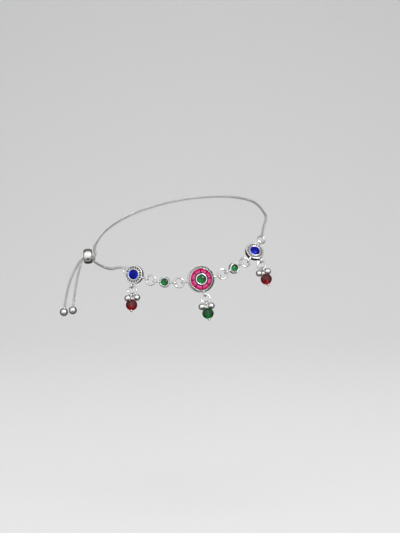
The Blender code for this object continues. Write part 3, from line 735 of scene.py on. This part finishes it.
def finish_setting(name, setting, bm, side_angles, side_ring=False):
    """Adds the eyes to a turned setting, and lays it in its place."""
    bmesh.ops.translate(bm, vec=(0, 0, -setting.height / 2), verts=bm.verts)
    for angle in side_angles:
        add_eye(bm, setting, angle, EYE_STAND)
    if setting.lower_stand:
        add_eye(bm, setting, lower_eyes[name], setting.lower_stand)
    if side_ring:
        add_side_ring(bm)
    nodes = [f"{name}_setting"]
    piece = add_piece(f"{name}_casting", bm, "oxidised_silver", nodes, places[name])
    print(name, "faces:", len(piece.data.polygons))


print("an eye stands", round((EYE_STAND + EYE_HOLE + 2 * EYE_WIRE) / MM, 2), "mm off the rim")

# %% [markdown]
# The medallion is cast in one: a plate, a sloping rim with slanted rope grooves between two thin
# bright edges, an open channel for the eight pink stones, and a round polished bezel for the green
# one. Channel and grooves are black, and the rim as a whole is greyer than the rest.

# %% Medallion setting
MEDALLION_SPOKES = 288
ROPE_GROOVES = 48
ROPE_TWIST = 2.2
GROOVE_DEPTH = 0.14 * MM
CHANNEL_FLOOR = 0.95 * MM
CHANNEL_INNER = 2.78 * MM
CHANNEL_OUTER = 5.1 * MM
SLOPE_START = 5.36 * MM
SLOPE_END = 6.34 * MM
SLOPE_TOP = 1.97 * MM
SLOPE_BOTTOM = 1.07 * MM
SLOPE_ROWS = 8
BEZEL_OXIDE = 0.1
SLOPE_OXIDE = 0.14
GROOVE_OXIDE = 0.7


def medallion_profile():
    seat = MEDALLION.stone_radius + SEAT_GAP
    rows = [(0, 1.2 * MM), (seat, 1.2 * MM)]
    middle = (seat + CHANNEL_INNER) / 2
    rows += arc((middle, 2.02 * MM), (CHANNEL_INNER - middle, 0.33 * MM), 180, 0, 10)
    rows += [(CHANNEL_INNER, CHANNEL_FLOOR), (4 * MM, CHANNEL_FLOOR)]
    rows += [(CHANNEL_OUTER, CHANNEL_FLOOR), (CHANNEL_OUTER, 1.93 * MM)]
    rows += arc((5.22 * MM, 1.95 * MM), (0.12 * MM, 0.1 * MM), 180, 20, 5)
    for row in range(SLOPE_ROWS + 1):
        share = row / SLOPE_ROWS
        radius = SLOPE_START + (SLOPE_END - SLOPE_START) * share
        rows.append((radius, SLOPE_TOP + (SLOPE_BOTTOM - SLOPE_TOP) * share))
    rows += [(6.36 * MM, 1.12 * MM), (6.47 * MM, 1.12 * MM), (MEDALLION.radius, 1.08 * MM)]
    rows += [(MEDALLION.radius, BACK_CHAMFER), (MEDALLION.radius - BACK_CHAMFER, 0), (0, 0)]
    return rows


def carve_rope(bm, verts):
    """Presses the slanted grooves into the slope and blackens the recesses."""
    oxide = bm.verts.layers.float["oxide"]
    for vertex in verts:
        radius = math.hypot(vertex.co.x, vertex.co.y)
        if CHANNEL_INNER - WELD < radius < CHANNEL_OUTER + WELD and vertex.co.z > WELD:
            low = vertex.co.z < CHANNEL_FLOOR + WELD
            vertex[oxide] = SLOT_OXIDE if low else BEZEL_OXIDE
        share = (radius - SLOPE_START) / (SLOPE_END - SLOPE_START)
        if 0 <= share <= 1 and vertex.co.z > SLOPE_BOTTOM - WELD:
            turn = ROPE_GROOVES * math.atan2(vertex.co.y, vertex.co.x)
            groove = 0.5 - 0.5 * math.cos(turn + ROPE_TWIST * share)
            deep = groove * math.sqrt(math.sin(math.pi * share)) if 0 < share < 1 else 0
            vertex.co.z -= GROOVE_DEPTH * deep
            vertex[oxide] = SLOPE_OXIDE + GROOVE_OXIDE * deep


bm = new_bmesh()
carve_rope(bm, add_turned(bm, medallion_profile(), MEDALLION_SPOKES))
finish_setting("medallion", MEDALLION, bm, (0, math.pi))

# %% [markdown]
# A round charm is a shallow cup: a smooth bezel, then eighteen flat ridges like spokes with black
# slots between them, then a smooth lip and a plain polished wall. Three spokes of the turned mesh
# make the top of a ridge and three the floor of a slot. They are shifted round a little, which
# makes the ridges narrower than the slots, with steep sides.

# %% Charm settings
CHARM_RIDGES = 18
SPOKES_A_RIDGE = 6
SPOKE_SHIFTS = (0.1, 0, -0.1, -0.75, 0, 0.75)
RIDGE_TOP = 2.1 * MM
SLOT_FLOOR = 1.1 * MM
SLOT_INNER = 2.77 * MM
SLOT_OUTER = 3.88 * MM


def charm_profile():
    seat = CHARM.stone_radius + SEAT_GAP
    rows = [(0, 1.3 * MM), (seat, 1.3 * MM)]
    middle = (seat + SLOT_INNER) / 2
    rows += arc((middle, 2.22 * MM), (SLOT_INNER - middle, 0.13 * MM), 180, 0, 8)
    rows += [(SLOT_INNER, SLOT_FLOOR), (3.3 * MM, SLOT_FLOOR), (SLOT_OUTER, SLOT_FLOOR)]
    rows += arc((SLOT_OUTER + 0.08 * MM, 2.22 * MM), (0.08 * MM, 0.08 * MM), 180, 90, 3)
    rows += arc((CHARM.radius - 0.22 * MM, 2.08 * MM), (0.22 * MM, 0.22 * MM), 90, 0, 5)
    rows += [(CHARM.radius, BACK_CHAMFER), (CHARM.radius - BACK_CHAMFER, 0), (0, 0)]
    return rows


def raise_ridges(bm, verts):
    """Lifts half of the spokes of the channel into ridges, and blackens the others."""
    oxide = bm.verts.layers.float["oxide"]
    spoke_angle = math.tau / (CHARM_RIDGES * SPOKES_A_RIDGE)
    for vertex in verts:
        radius = math.hypot(vertex.co.x, vertex.co.y)
        spoke = round(math.atan2(vertex.co.y, vertex.co.x) / spoke_angle) % SPOKES_A_RIDGE
        turn = Matrix.Rotation(SPOKE_SHIFTS[spoke] * spoke_angle, 3, "Z")
        if abs(vertex.co.z - SLOT_FLOOR) < WELD and radius > SLOT_INNER - WELD:
            if spoke < SPOKES_A_RIDGE / 2:
                vertex.co.z = RIDGE_TOP
                vertex[oxide] = 0
            else:
                vertex[oxide] = SLOT_OXIDE
        if radius > SLOT_INNER - WELD:
            vertex.co = turn @ vertex.co


for name, side_angles in (("left_charm", (0,)), ("right_charm", (0, math.pi))):
    bm = new_bmesh()
    raise_ridges(bm, add_turned(bm, charm_profile(), CHARM_RIDGES * SPOKES_A_RIDGE))
    finish_setting(name, CHARM, bm, side_angles, side_ring=name == "left_charm")

# %% [markdown]
# The small connectors are a bezel on a lower step. The step has a row of tiny cast grains, dark
# between them, and there is a narrow black groove at the foot of the bezel.

# %% Connector settings
GRAINS = 22
GROOVE_SHARE = 0.1
STEP_SHARE = 0.6
SPOKES_A_GRAIN = 6
GRAIN_RISE = 0.14 * MM
GRAIN_FOOT = 1.05 * MM
FOOT_OXIDE = 0.95
GAP_OXIDE = 0.9
TOP_BRIGHT = 0.6
STEP_INNER = 2.12 * MM
STEP_HEIGHT = 1.22 * MM


def connector_profile():
    seat = CONNECTOR.stone_radius + SEAT_GAP
    rows = [(0, 0.85 * MM), (seat, 0.85 * MM)]
    middle = (seat + STEP_INNER) / 2 - 0.02 * MM
    rows += arc((middle, 1.62 * MM), (middle - seat, 0.13 * MM), 180, 0, 8)
    rows += [(STEP_INNER, 1.08 * MM), (STEP_INNER + 0.08 * MM, STEP_HEIGHT)]
    rows += [(2.33 * MM, STEP_HEIGHT + 0.02 * MM), (2.46 * MM, STEP_HEIGHT), (2.55 * MM, 1.1 * MM)]
    rows += [(CONNECTOR.radius, 0.95 * MM), (CONNECTOR.radius, BACK_CHAMFER)]
    rows += [(CONNECTOR.radius - BACK_CHAMFER, 0), (0, 0)]
    return rows


def raise_grains(bm, verts):
    """Lifts the step into grains, black at the bezel's foot and between them."""
    oxide = bm.verts.layers.float["oxide"]
    for vertex in verts:
        radius = math.hypot(vertex.co.x, vertex.co.y)
        if radius < STEP_INNER - WELD or vertex.co.z < GRAIN_FOOT:
            continue
        wave = 0.5 + 0.5 * math.cos(GRAINS * math.atan2(vertex.co.y, vertex.co.x))
        share = (radius - STEP_INNER) / (CONNECTOR.radius - STEP_INNER)
        vertex.co.z += GRAIN_RISE * wave * math.sin(math.pi * share)
        if share < GROOVE_SHARE:
            vertex[oxide] = FOOT_OXIDE
        elif share <= STEP_SHARE:
            vertex[oxide] = GAP_OXIDE - TOP_BRIGHT * wave


for name in ("left_connector", "right_connector"):
    bm = new_bmesh()
    raise_grains(bm, add_turned(bm, connector_profile(), GRAINS * SPOKES_A_GRAIN))
    finish_setting(name, CONNECTOR, bm, (0, math.pi))

# %% [markdown]
# The cabochons are pressed domes with a short straight wall that stands in the bezel. Light from
# the foil is painted into their colour: at the left and right of the blue ones, and at the lower
# left of the green ones.

# %% Cabochons
DOME_ROWS = 14
CABOCHON_STEPS = 56


def side_painted_glow(x, y, radius):
    """Painted light, as from the foil, at the left and right, a little more at the lower side."""
    return max(0.0, min(1.0, (abs(x) / radius - 0.4) * 2.2)) * (0.75 - 0.25 * y / radius)


def corner_painted_glow(x, y, radius):
    """Painted light, as from the foil, at the lower left, none at the very rim."""
    rim = 1 - (math.hypot(x, y) / radius) ** 8
    return max(0.0, min(1.0, 0.35 - 0.75 * (0.8 * x + y) / radius)) * rim


def add_cabochon(name, setting, slot, painted_glow_at):
    """A domed stone; painted_glow_at gives the painted light at a place of its face."""
    bm = new_bmesh()
    bottom = setting.bottom_of_stone - setting.height / 2
    base = bottom + setting.stone_wall
    radii = (setting.stone_radius, setting.stone_rise)
    profile = arc((0, base), radii, 90, 0, DOME_ROWS)
    profile[0] = (0, base + setting.stone_rise)
    profile += [(setting.stone_radius, bottom), (0, bottom)]
    made = add_turned(bm, profile, CABOCHON_STEPS)
    painted_glow = bm.verts.layers.float["painted_glow"]
    for vertex in made:
        vertex[painted_glow] = painted_glow_at(vertex.co.x, vertex.co.y, setting.stone_radius)
    add_piece(f"{name}_dome", bm, slot, [f"{name}_cabochon"], places[name])


add_cabochon("left_charm", CHARM, "blue_glass", side_painted_glow)
add_cabochon("right_charm", CHARM, "blue_glass", side_painted_glow)
for name, setting in ROW[1:4]:
    add_cabochon(name, setting, "green_glass", corner_painted_glow)
print("cabochons:", len(ROW))

# %% [markdown]
# Each pink stone is cut as a keystone, so that the eight close into a ring: a curved outer and
# inner edge, a table in the middle, and two rows of crown facets that catch the light. They stand
# a little over the channel, each held by its neighbours with a dark gap between them. A highlight
# is painted into each stone's colour, brightest towards the inner edge of the table and crown.

# %% Pink stones
PINK_STONES = 8
PINK_TURN = 19.5
PINK_SPACING = 0.3 * MM
PINK_INNER = 3.17 * MM
PINK_OUTER = 5.03 * MM
PINK_TABLE = 2.15 * MM - MEDALLION.height / 2
PINK_SHOULDER = PINK_TABLE - 0.16 * MM
PINK_GIRDLE = PINK_TABLE - 0.42 * MM
PINK_BOTTOM = 1.02 * MM - MEDALLION.height / 2
# Inset, height and painted highlight of each crown row
PINK_CROWN = ((0.18 * MM, PINK_SHOULDER, 0.95), (0.24 * MM, PINK_TABLE, 0.6))
OUTER_SIDES = (-1, -0.5, 0, 0.5, 1)
INNER_SIDES = (1, 0, -1)
# The painted light of the crown, before its highlight is added
PINK_PAINTED_BASE = 0.38
PINK_TAPER = 0.3 * MM


def add_pink_stone(number):
    """A stone of the ring, its table and crown above and its narrower foot below."""
    bm = new_bmesh()
    painted_glow = bm.verts.layers.float["painted_glow"]
    half_share = math.pi / PINK_STONES
    corners = []
    for radius, sides in ((PINK_OUTER, OUTER_SIDES), (PINK_INNER, INNER_SIDES)):
        for side in sides:
            angle = side * (half_share - math.asin(PINK_SPACING / 2 / radius))
            place = (radius * math.cos(angle), radius * math.sin(angle), PINK_GIRDLE)
            corners.append(bm.verts.new(place))
    crown = bm.faces.new(corners)
    lower = bmesh.ops.extrude_face_region(bm, geom=[crown])["geom"]
    lower = [item for item in lower if isinstance(item, bmesh.types.BMFace)]
    for inset, height, painted_shine in PINK_CROWN:
        bmesh.ops.inset_region(bm, faces=[crown], thickness=inset)
        for vertex in crown.verts:
            vertex.co.z = height
            inward = (PINK_OUTER - math.hypot(vertex.co.x, vertex.co.y)) / (PINK_OUTER - PINK_INNER)
            # Painted highlight, growing towards the inner edge
            vertex[painted_glow] = PINK_PAINTED_BASE + painted_shine * inward**3
    bmesh.ops.inset_region(bm, faces=lower, thickness=PINK_TAPER)
    for vertex in lower[0].verts:
        vertex.co.z = PINK_BOTTOM
    turn = math.radians(PINK_TURN) + math.tau * (number - 1) / PINK_STONES
    place = places["medallion"] @ Matrix.Rotation(turn, 4, "Z")
    node = f"medallion_stone_{number}"
    add_piece(f"{node}_cut", bm, "pink_glass", [node], place, FLAT_ANGLE)


for number in range(1, PINK_STONES + 1):
    add_pink_stone(number)
print("pink stones:", PINK_STONES)

# %% [markdown]
# A drop hangs in the lower eye of a setting: a ring of round wire that carries two hollow silver
# balls with small eyes and, between them, a head pin through a faceted crystal.

# %% Rings and balls of the drops
DROP_JOIN = math.radians(-20)
BALL_FACETS = (56, 36)


def hang_offset(hole, wire):
    """From the middle of an eye's hole to the middle of a wire that rests against its side."""
    return hole - wire - LINK_GAP


def add_hanging_eye(bm, hole, wire):
    """An eye that hangs on the wire of a drop ring. Returns its middle."""
    eye = Vector((0, 0, -hang_offset(hole, DROP_WIRE)))
    add_ring(bm, hole + wire, wire, EYE_FACETS, Matrix.Translation(eye) @ QUARTER_Y)
    return eye


def add_drop_ring(name, place):
    bm = new_bmesh()
    turned = place @ QUARTER_X @ Matrix.Rotation(DROP_JOIN, 4, "Z")
    add_ring(bm, DROP_RADIUS, DROP_WIRE, RING_FACETS, cut=RING_CUT)
    add_piece(f"{name}_ring_wire", bm, "polished_silver", [f"{name}_ring"], turned)


def add_drop_ball(name, number, side, place):
    """A ball with its eye; side is 1 or -1 across the drop."""
    bm = new_bmesh()
    add_hanging_eye(bm, BALL_EYE_HOLE, BALL_EYE_WIRE)
    middle = -UP * (DROP_WIRE + LINK_GAP + BALL_RADIUS)
    add_ball(bm, BALL_RADIUS, middle, BALL_FACETS)
    spread = Matrix.Rotation(side * math.radians(BALL_SPREAD), 4, "Y")
    hung = place @ spread @ Matrix.Translation((0, 0, -DROP_RADIUS))
    node = f"{name}_ball_{number}"
    add_piece(f"{node}_silver", bm, "polished_silver", [node], hung)


drop_places = {name: drop_place(name) for name in ("left_drop", "middle_drop", "right_drop")}
for name, place in drop_places.items():
    add_drop_ring(name, place)
    add_drop_ball(name, 1, 1, place)
    add_drop_ball(name, 2, -1, place)
print("drops:", list(drop_places))

# %% [markdown]
# The crystal is a drilled bead with rows of facets that are turned half a step from one row to
# the next, cut from the hull of those rows. It is turned on its pin so that some of its facets
# look between the lamp and the camera. The pin's wire goes through the bore: a ball head holds
# the bead from below, and above it the wire is bent into an eye.

# %% Pins and crystals
CRYSTAL_SIDES = 10
# Radius and height of each upper row in mm, and its turn in steps
CRYSTAL_ROWS = ((1.3, 2.4, 0), (2.2, 1.62, 0.5), (2.72, 0.55, 0))
BORE_CHAMFER = 0.06 * MM
SAME_FACET = math.radians(1)


def crystal_top():
    """How far below the middle of the drop ring's wire the bead begins."""
    return hang_offset(PIN_EYE_HOLE, DROP_WIRE) + PIN_LENGTH


def add_crystal(name, place, slot):
    """A drilled and faceted bead. Returns the count of its faces."""
    bm = new_bmesh()
    rows = [*CRYSTAL_ROWS, *((radius, -height, turn + 0.5) for radius, height, turn in CRYSTAL_ROWS)]
    for radius, height, turn in rows:
        lift = Matrix.Translation((0, 0, height * MM))
        twist = Matrix.Rotation(turn * math.tau / CRYSTAL_SIDES, 4, "Z")
        bmesh.ops.create_circle(bm, segments=CRYSTAL_SIDES, radius=radius * MM, matrix=lift @ twist)
    hull = bmesh.ops.convex_hull(bm, input=bm.verts)
    bmesh.ops.delete(bm, geom=hull["geom_interior"], context="VERTS")
    bmesh.ops.dissolve_limit(bm, angle_limit=SAME_FACET, verts=bm.verts, edges=bm.edges)
    ends = [face for face in bm.faces if abs(face.normal.z) > 0.999]
    rim = CRYSTAL_END_RADIUS - CRYSTAL_BORE - BORE_CHAMFER
    bmesh.ops.inset_region(bm, faces=ends, thickness=rim)
    rims = [edge for face in ends for edge in face.edges]
    bmesh.ops.delete(bm, geom=ends, context="FACES_ONLY")
    bmesh.ops.bridge_loops(bm, edges=rims)
    # Light painted into the colour, lighter towards the bottom of the bead
    painted_glow = bm.verts.layers.float["painted_glow"]
    for vertex in bm.verts:
        vertex[painted_glow] = 0.5 - 0.5 * vertex.co.z / (CRYSTAL_HEIGHT / 2)
    hung = place @ Matrix.Translation((0, 0, -crystal_top() - CRYSTAL_HEIGHT / 2))
    glint = hung.to_3x3().inverted() @ (LAMP_DIRECTION + camera_back)
    hung = hung @ Matrix.Rotation(math.atan2(glint.y, glint.x), 4, "Z")
    node = f"{name}_crystal"
    piece = add_piece(f"{node}_cut", bm, slot, [node], hung, FLAT_ANGLE)
    return len(piece.data.polygons)


def add_pin(name, place):
    bm = new_bmesh()
    eye = add_hanging_eye(bm, PIN_EYE_HOLE, PIN_EYE_WIRE)
    head = Vector((0, 0, -crystal_top() - CRYSTAL_HEIGHT - PIN_HEAD))
    add_rod(bm, PIN_WIRE, head, eye - UP * (PIN_EYE_HOLE + PIN_EYE_WIRE))
    add_ball(bm, PIN_HEAD, head)
    node = f"{name}_pin"
    add_piece(f"{node}_wire", bm, "polished_silver", [node], place)


CRYSTALS = {
    "left_drop": "garnet_crystal",
    "middle_drop": "green_crystal",
    "right_drop": "garnet_crystal",
}
for name, slot in CRYSTALS.items():
    lean = Matrix.Rotation(-math.radians(PIN_TILT), 4, "X")
    bottom = drop_places[name] @ Matrix.Translation((0, 0, -DROP_RADIUS)) @ lean
    add_pin(name, bottom)
    facets = add_crystal(name, bottom, slot)
print("faces of a crystal:", facets)

# %% [markdown]
# The slider is a polished ring of oval section that both chains go through, tight enough to stay
# where it is pushed. Each chain ends in a drilled silver ball, which keeps the slider on.

# %% Slider
TURNED_STEPS = 72
SECTION_STEPS = 40
bm = new_bmesh()
middle = (SLIDER_RADIUS + SLIDER_BORE) / 2
thick = (SLIDER_RADIUS - SLIDER_BORE) / 2
section = arc((middle, 0), (thick, SLIDER_LENGTH / 2), 90, -270, SECTION_STEPS)
add_turned(bm, section, TURNED_STEPS)
slider_place = Matrix.Translation(SLIDER_CENTRE) @ turned_to(SLIDER_AXIS)
add_piece("slider_polished", bm, "polished_silver", ["slider_bead"], slider_place)
print("slider diameter in mm:", round(2 * SLIDER_RADIUS / MM, 1))

# %% [markdown]
# The way of the chains, with the same few points as in the CAD source: up the front chain's
# hanging end, through the slider, round the front, right side and back, through the slider again
# and down the back chain's hanging end. The row of charms takes the place of the chain between
# the two end rings.

# %% The way of the chains
FRONT_TAIL = (
    (-50.4, -2.9, -34.1), (-50.1, -2.9, -31.4), (-49.6, -2.9, -28.0),
    (-48.8, -2.9, -23.0), (-47.8, -2.9, -18.0), (-46.6, -2.9, -13.5),
    (-45.7, -2.9, -10.8),
)
LOOP = (
    (-39.9, -4.6, -9.8), (-39.6, -10.0, -10.4), (-37.7, -14.5, -11.1),
    (-33.7, -20.0, -12.2), (-30.0, -24.2, -12.3), (-25.6, -26.6, -11.3),
    (-19.5, -29.5, -13.4), (-11.6, -32.0, -16.8), (-4.9, -32.8, -17.0),
    (1.7, -33.0, -17.7), (12.2, -32.0, -16.2), (22.0, -29.0, -14.5),
    (27.0, -26.0, -11.2), (32.2, -22.5, -9.8), (38.2, -17.5, -6.4),
    (40.8, -11.5, -0.1), (42.2, -6.0, 5.5), (43.4, -2.0, 8.6),
    (42.8, 2.0, 11.3), (38.0, 16.0, 15.5), (28.0, 26.0, 17.0),
    (15.0, 31.5, 16.5), (0.0, 33.0, 14.5), (-14.0, 31.5, 11.0),
    (-26.0, 27.0, 6.5), (-35.0, 20.0, 1.0), (-39.8, 11.0, -4.6),
    (-40.2, 5.0, -7.3), (-39.5, 0.6, -8.9),
)
BACK_TAIL = (
    (-46.7, -1.1, -11.5), (-48.4, -1.1, -14.2), (-50.4, -1.1, -18.0),
    (-52.2, -1.1, -22.5), (-53.5, -1.1, -27.6), (-54.3, -1.1, -32.0),
    (-54.8, -1.1, -35.3),
)
SPAN_STEPS = 32
SKIPPED_STEPS = 6


def smooth_line(points):
    """A fine line along a smooth curve through the points."""
    ends = [2 * points[0] - points[1], *points, 2 * points[-1] - points[-2]]
    line = []
    for a, b, c, d in zip(ends, ends[1:], ends[2:], ends[3:]):
        for step in range(SPAN_STEPS):
            t = step / SPAN_STEPS
            bend = (2 * a - 5 * b + 4 * c - d) * t**2 + (3 * b - a - 3 * c + d) * t**3
            line.append(b + ((c - a) * t + bend) / 2)
    line.append(points[-1])
    return line


def lane(side, direction):
    """Two points of a chain inside the slider; side is -1 for the front chain, 1 for the back."""
    aside = Vector((0, side * LANE_OFFSET, -LANE_DROP))
    reach = SLIDER_AXIS * SLIDER_LENGTH * LANE_REACH * direction
    return [SLIDER_CENTRE + aside - reach, SLIDER_CENTRE + aside + reach]


def nearest(line, place):
    """The index of the point of the line that is nearest to a place."""
    return min(range(len(line)), key=lambda index: (line[index] - place).length)


front_tail = [Vector(point) * MM for point in FRONT_TAIL]
loop = [Vector(point) * MM for point in LOOP]
back_tail = [Vector(point) * MM for point in BACK_TAIL]
way = smooth_line(front_tail + lane(-1, 1) + loop + lane(1, -1) + back_tail)
left_ring = ring_place("left_end_ring").translation
right_ring = ring_place("right_end_ring").translation
front_way = [left_ring, *way[nearest(way, left_ring) - SKIPPED_STEPS :: -1]]
back_way = [right_ring, *way[nearest(way, right_ring) + SKIPPED_STEPS :]]
print("points on the front and back way:", len(front_way), len(back_way))

# %% [markdown]
# The end balls are hollow beads, drilled at the top, and the last link is glued into the hole.

# %% Balls on the hanging ends
SOCKET_RADIUS = 0.86 * MM
SOCKET_DEPTH = 0.5 * MM
SOCKET_TAPER = 0.04 * MM
END_BALL_STEPS = 56


def add_end_ball(node, line):
    bm = new_bmesh()
    heading = (line[-1] - line[-2]).normalized()
    centre = line[-1] + heading * (END_BALL_RADIUS - END_BALL_SINK)
    start = math.degrees(math.acos(SOCKET_RADIUS / END_BALL_RADIUS))
    floor = END_BALL_RADIUS - SOCKET_DEPTH
    profile = [(0, floor), (SOCKET_RADIUS - SOCKET_TAPER, floor)]
    profile += arc((0, 0), (END_BALL_RADIUS, END_BALL_RADIUS), start, -90, SECTION_STEPS)
    profile[-1] = (0, -END_BALL_RADIUS)
    add_turned(bm, profile, END_BALL_STEPS)
    place = Matrix.Translation(centre) @ turned_to(-heading)
    add_piece(f"{node}_silver", bm, "polished_silver", [node], place)


add_end_ball("front_tail_ball", front_way)
add_end_ball("back_tail_ball", back_way)
print("end ball diameter in mm:", round(2 * END_BALL_RADIUS / MM, 1))

# %% [markdown]
# The chain is a fine round-link chain: soldered rings of round wire, each a quarter turn from the
# next, so that face-on and edge-on links take turns. The inner side of every link is dark. The
# first link hooks through the end ring, and the last one stands in the hole of the end ball. At
# the right a wider first link goes round the thicker wire of the end ring.

# %% Chains
LINK_RADIUS = 0.56 * MM
LINK_WIRE = 0.19 * MM
LINK_PITCH = 0.73 * MM
WIDE_LINK_RADIUS = 0.8 * MM
LINK_FACETS = (12, 6)
LINK_PLAY = 0.01 * MM
HOOK_PLAY = 0.02 * MM


def sampled(line, distances):
    """The place and the heading on the line at each distance from its start."""
    found = []
    index = 0
    passed = 0.0
    for distance in distances:
        while index < len(line) - 2 and passed + (line[index + 1] - line[index]).length < distance:
            passed += (line[index + 1] - line[index]).length
            index += 1
        step = line[index + 1] - line[index]
        found.append((line[index] + step.normalized() * (distance - passed), step.normalized()))
    return found


def link_matrix(place, heading, quarter):
    """Lays a link along the heading, its axis out of the loop or a quarter turn from that."""
    outward = Vector((place.x, place.y, 0))
    outward = (outward - heading * outward.dot(heading)).normalized()
    sideways = heading.cross(outward)
    if quarter:
        outward, sideways = sideways, -outward
    return axes_matrix(heading, sideways, outward, place)


def add_chain(node, line, first_radius, first_place, first_quarter):
    """Links along the line; the first one's middle is first_place from the line's start."""
    bm = new_bmesh()
    oxide = bm.verts.layers.float["oxide"]
    total = sum((after - before).length for before, after in zip(line, line[1:]))
    second = first_place + first_radius - LINK_WIRE + LINK_RADIUS - LINK_WIRE - LINK_PLAY
    last = total - LINK_RADIUS
    count = round((last - second) / LINK_PITCH)
    pitch = (last - second) / count
    distances = [first_place] + [second + pitch * number for number in range(count + 1)]
    for number, (place, heading) in enumerate(sampled(line, distances)):
        radius = first_radius if number == 0 else LINK_RADIUS
        matrix = link_matrix(place, heading, (number + first_quarter) % 2)
        into_link = matrix.inverted()
        for vertex in add_ring(bm, radius, LINK_WIRE, LINK_FACETS, matrix):
            reach = (into_link @ vertex.co).xy.length
            # Each link is darker towards its inner side.
            vertex[oxide] = max(0.0, (radius - reach) / LINK_WIRE)
    add_piece(f"{node}_links", bm, "chain_silver", [node], angle=math.pi)
    print(node, "links:", len(distances), "pitch in mm:", round(pitch / MM, 3))


hook = LEFT_END_RADIUS - LEFT_END_WIRE - LINK_WIRE - HOOK_PLAY + LINK_RADIUS
add_chain("front_chain", front_way, LINK_RADIUS, hook, 0)
wide_hook = RIGHT_END_RADIUS - RIGHT_END_WIRE + WIDE_LINK_RADIUS - LINK_WIRE - HOOK_PLAY
add_chain("back_chain", back_way, WIDE_LINK_RADIUS, wide_hook, 1)
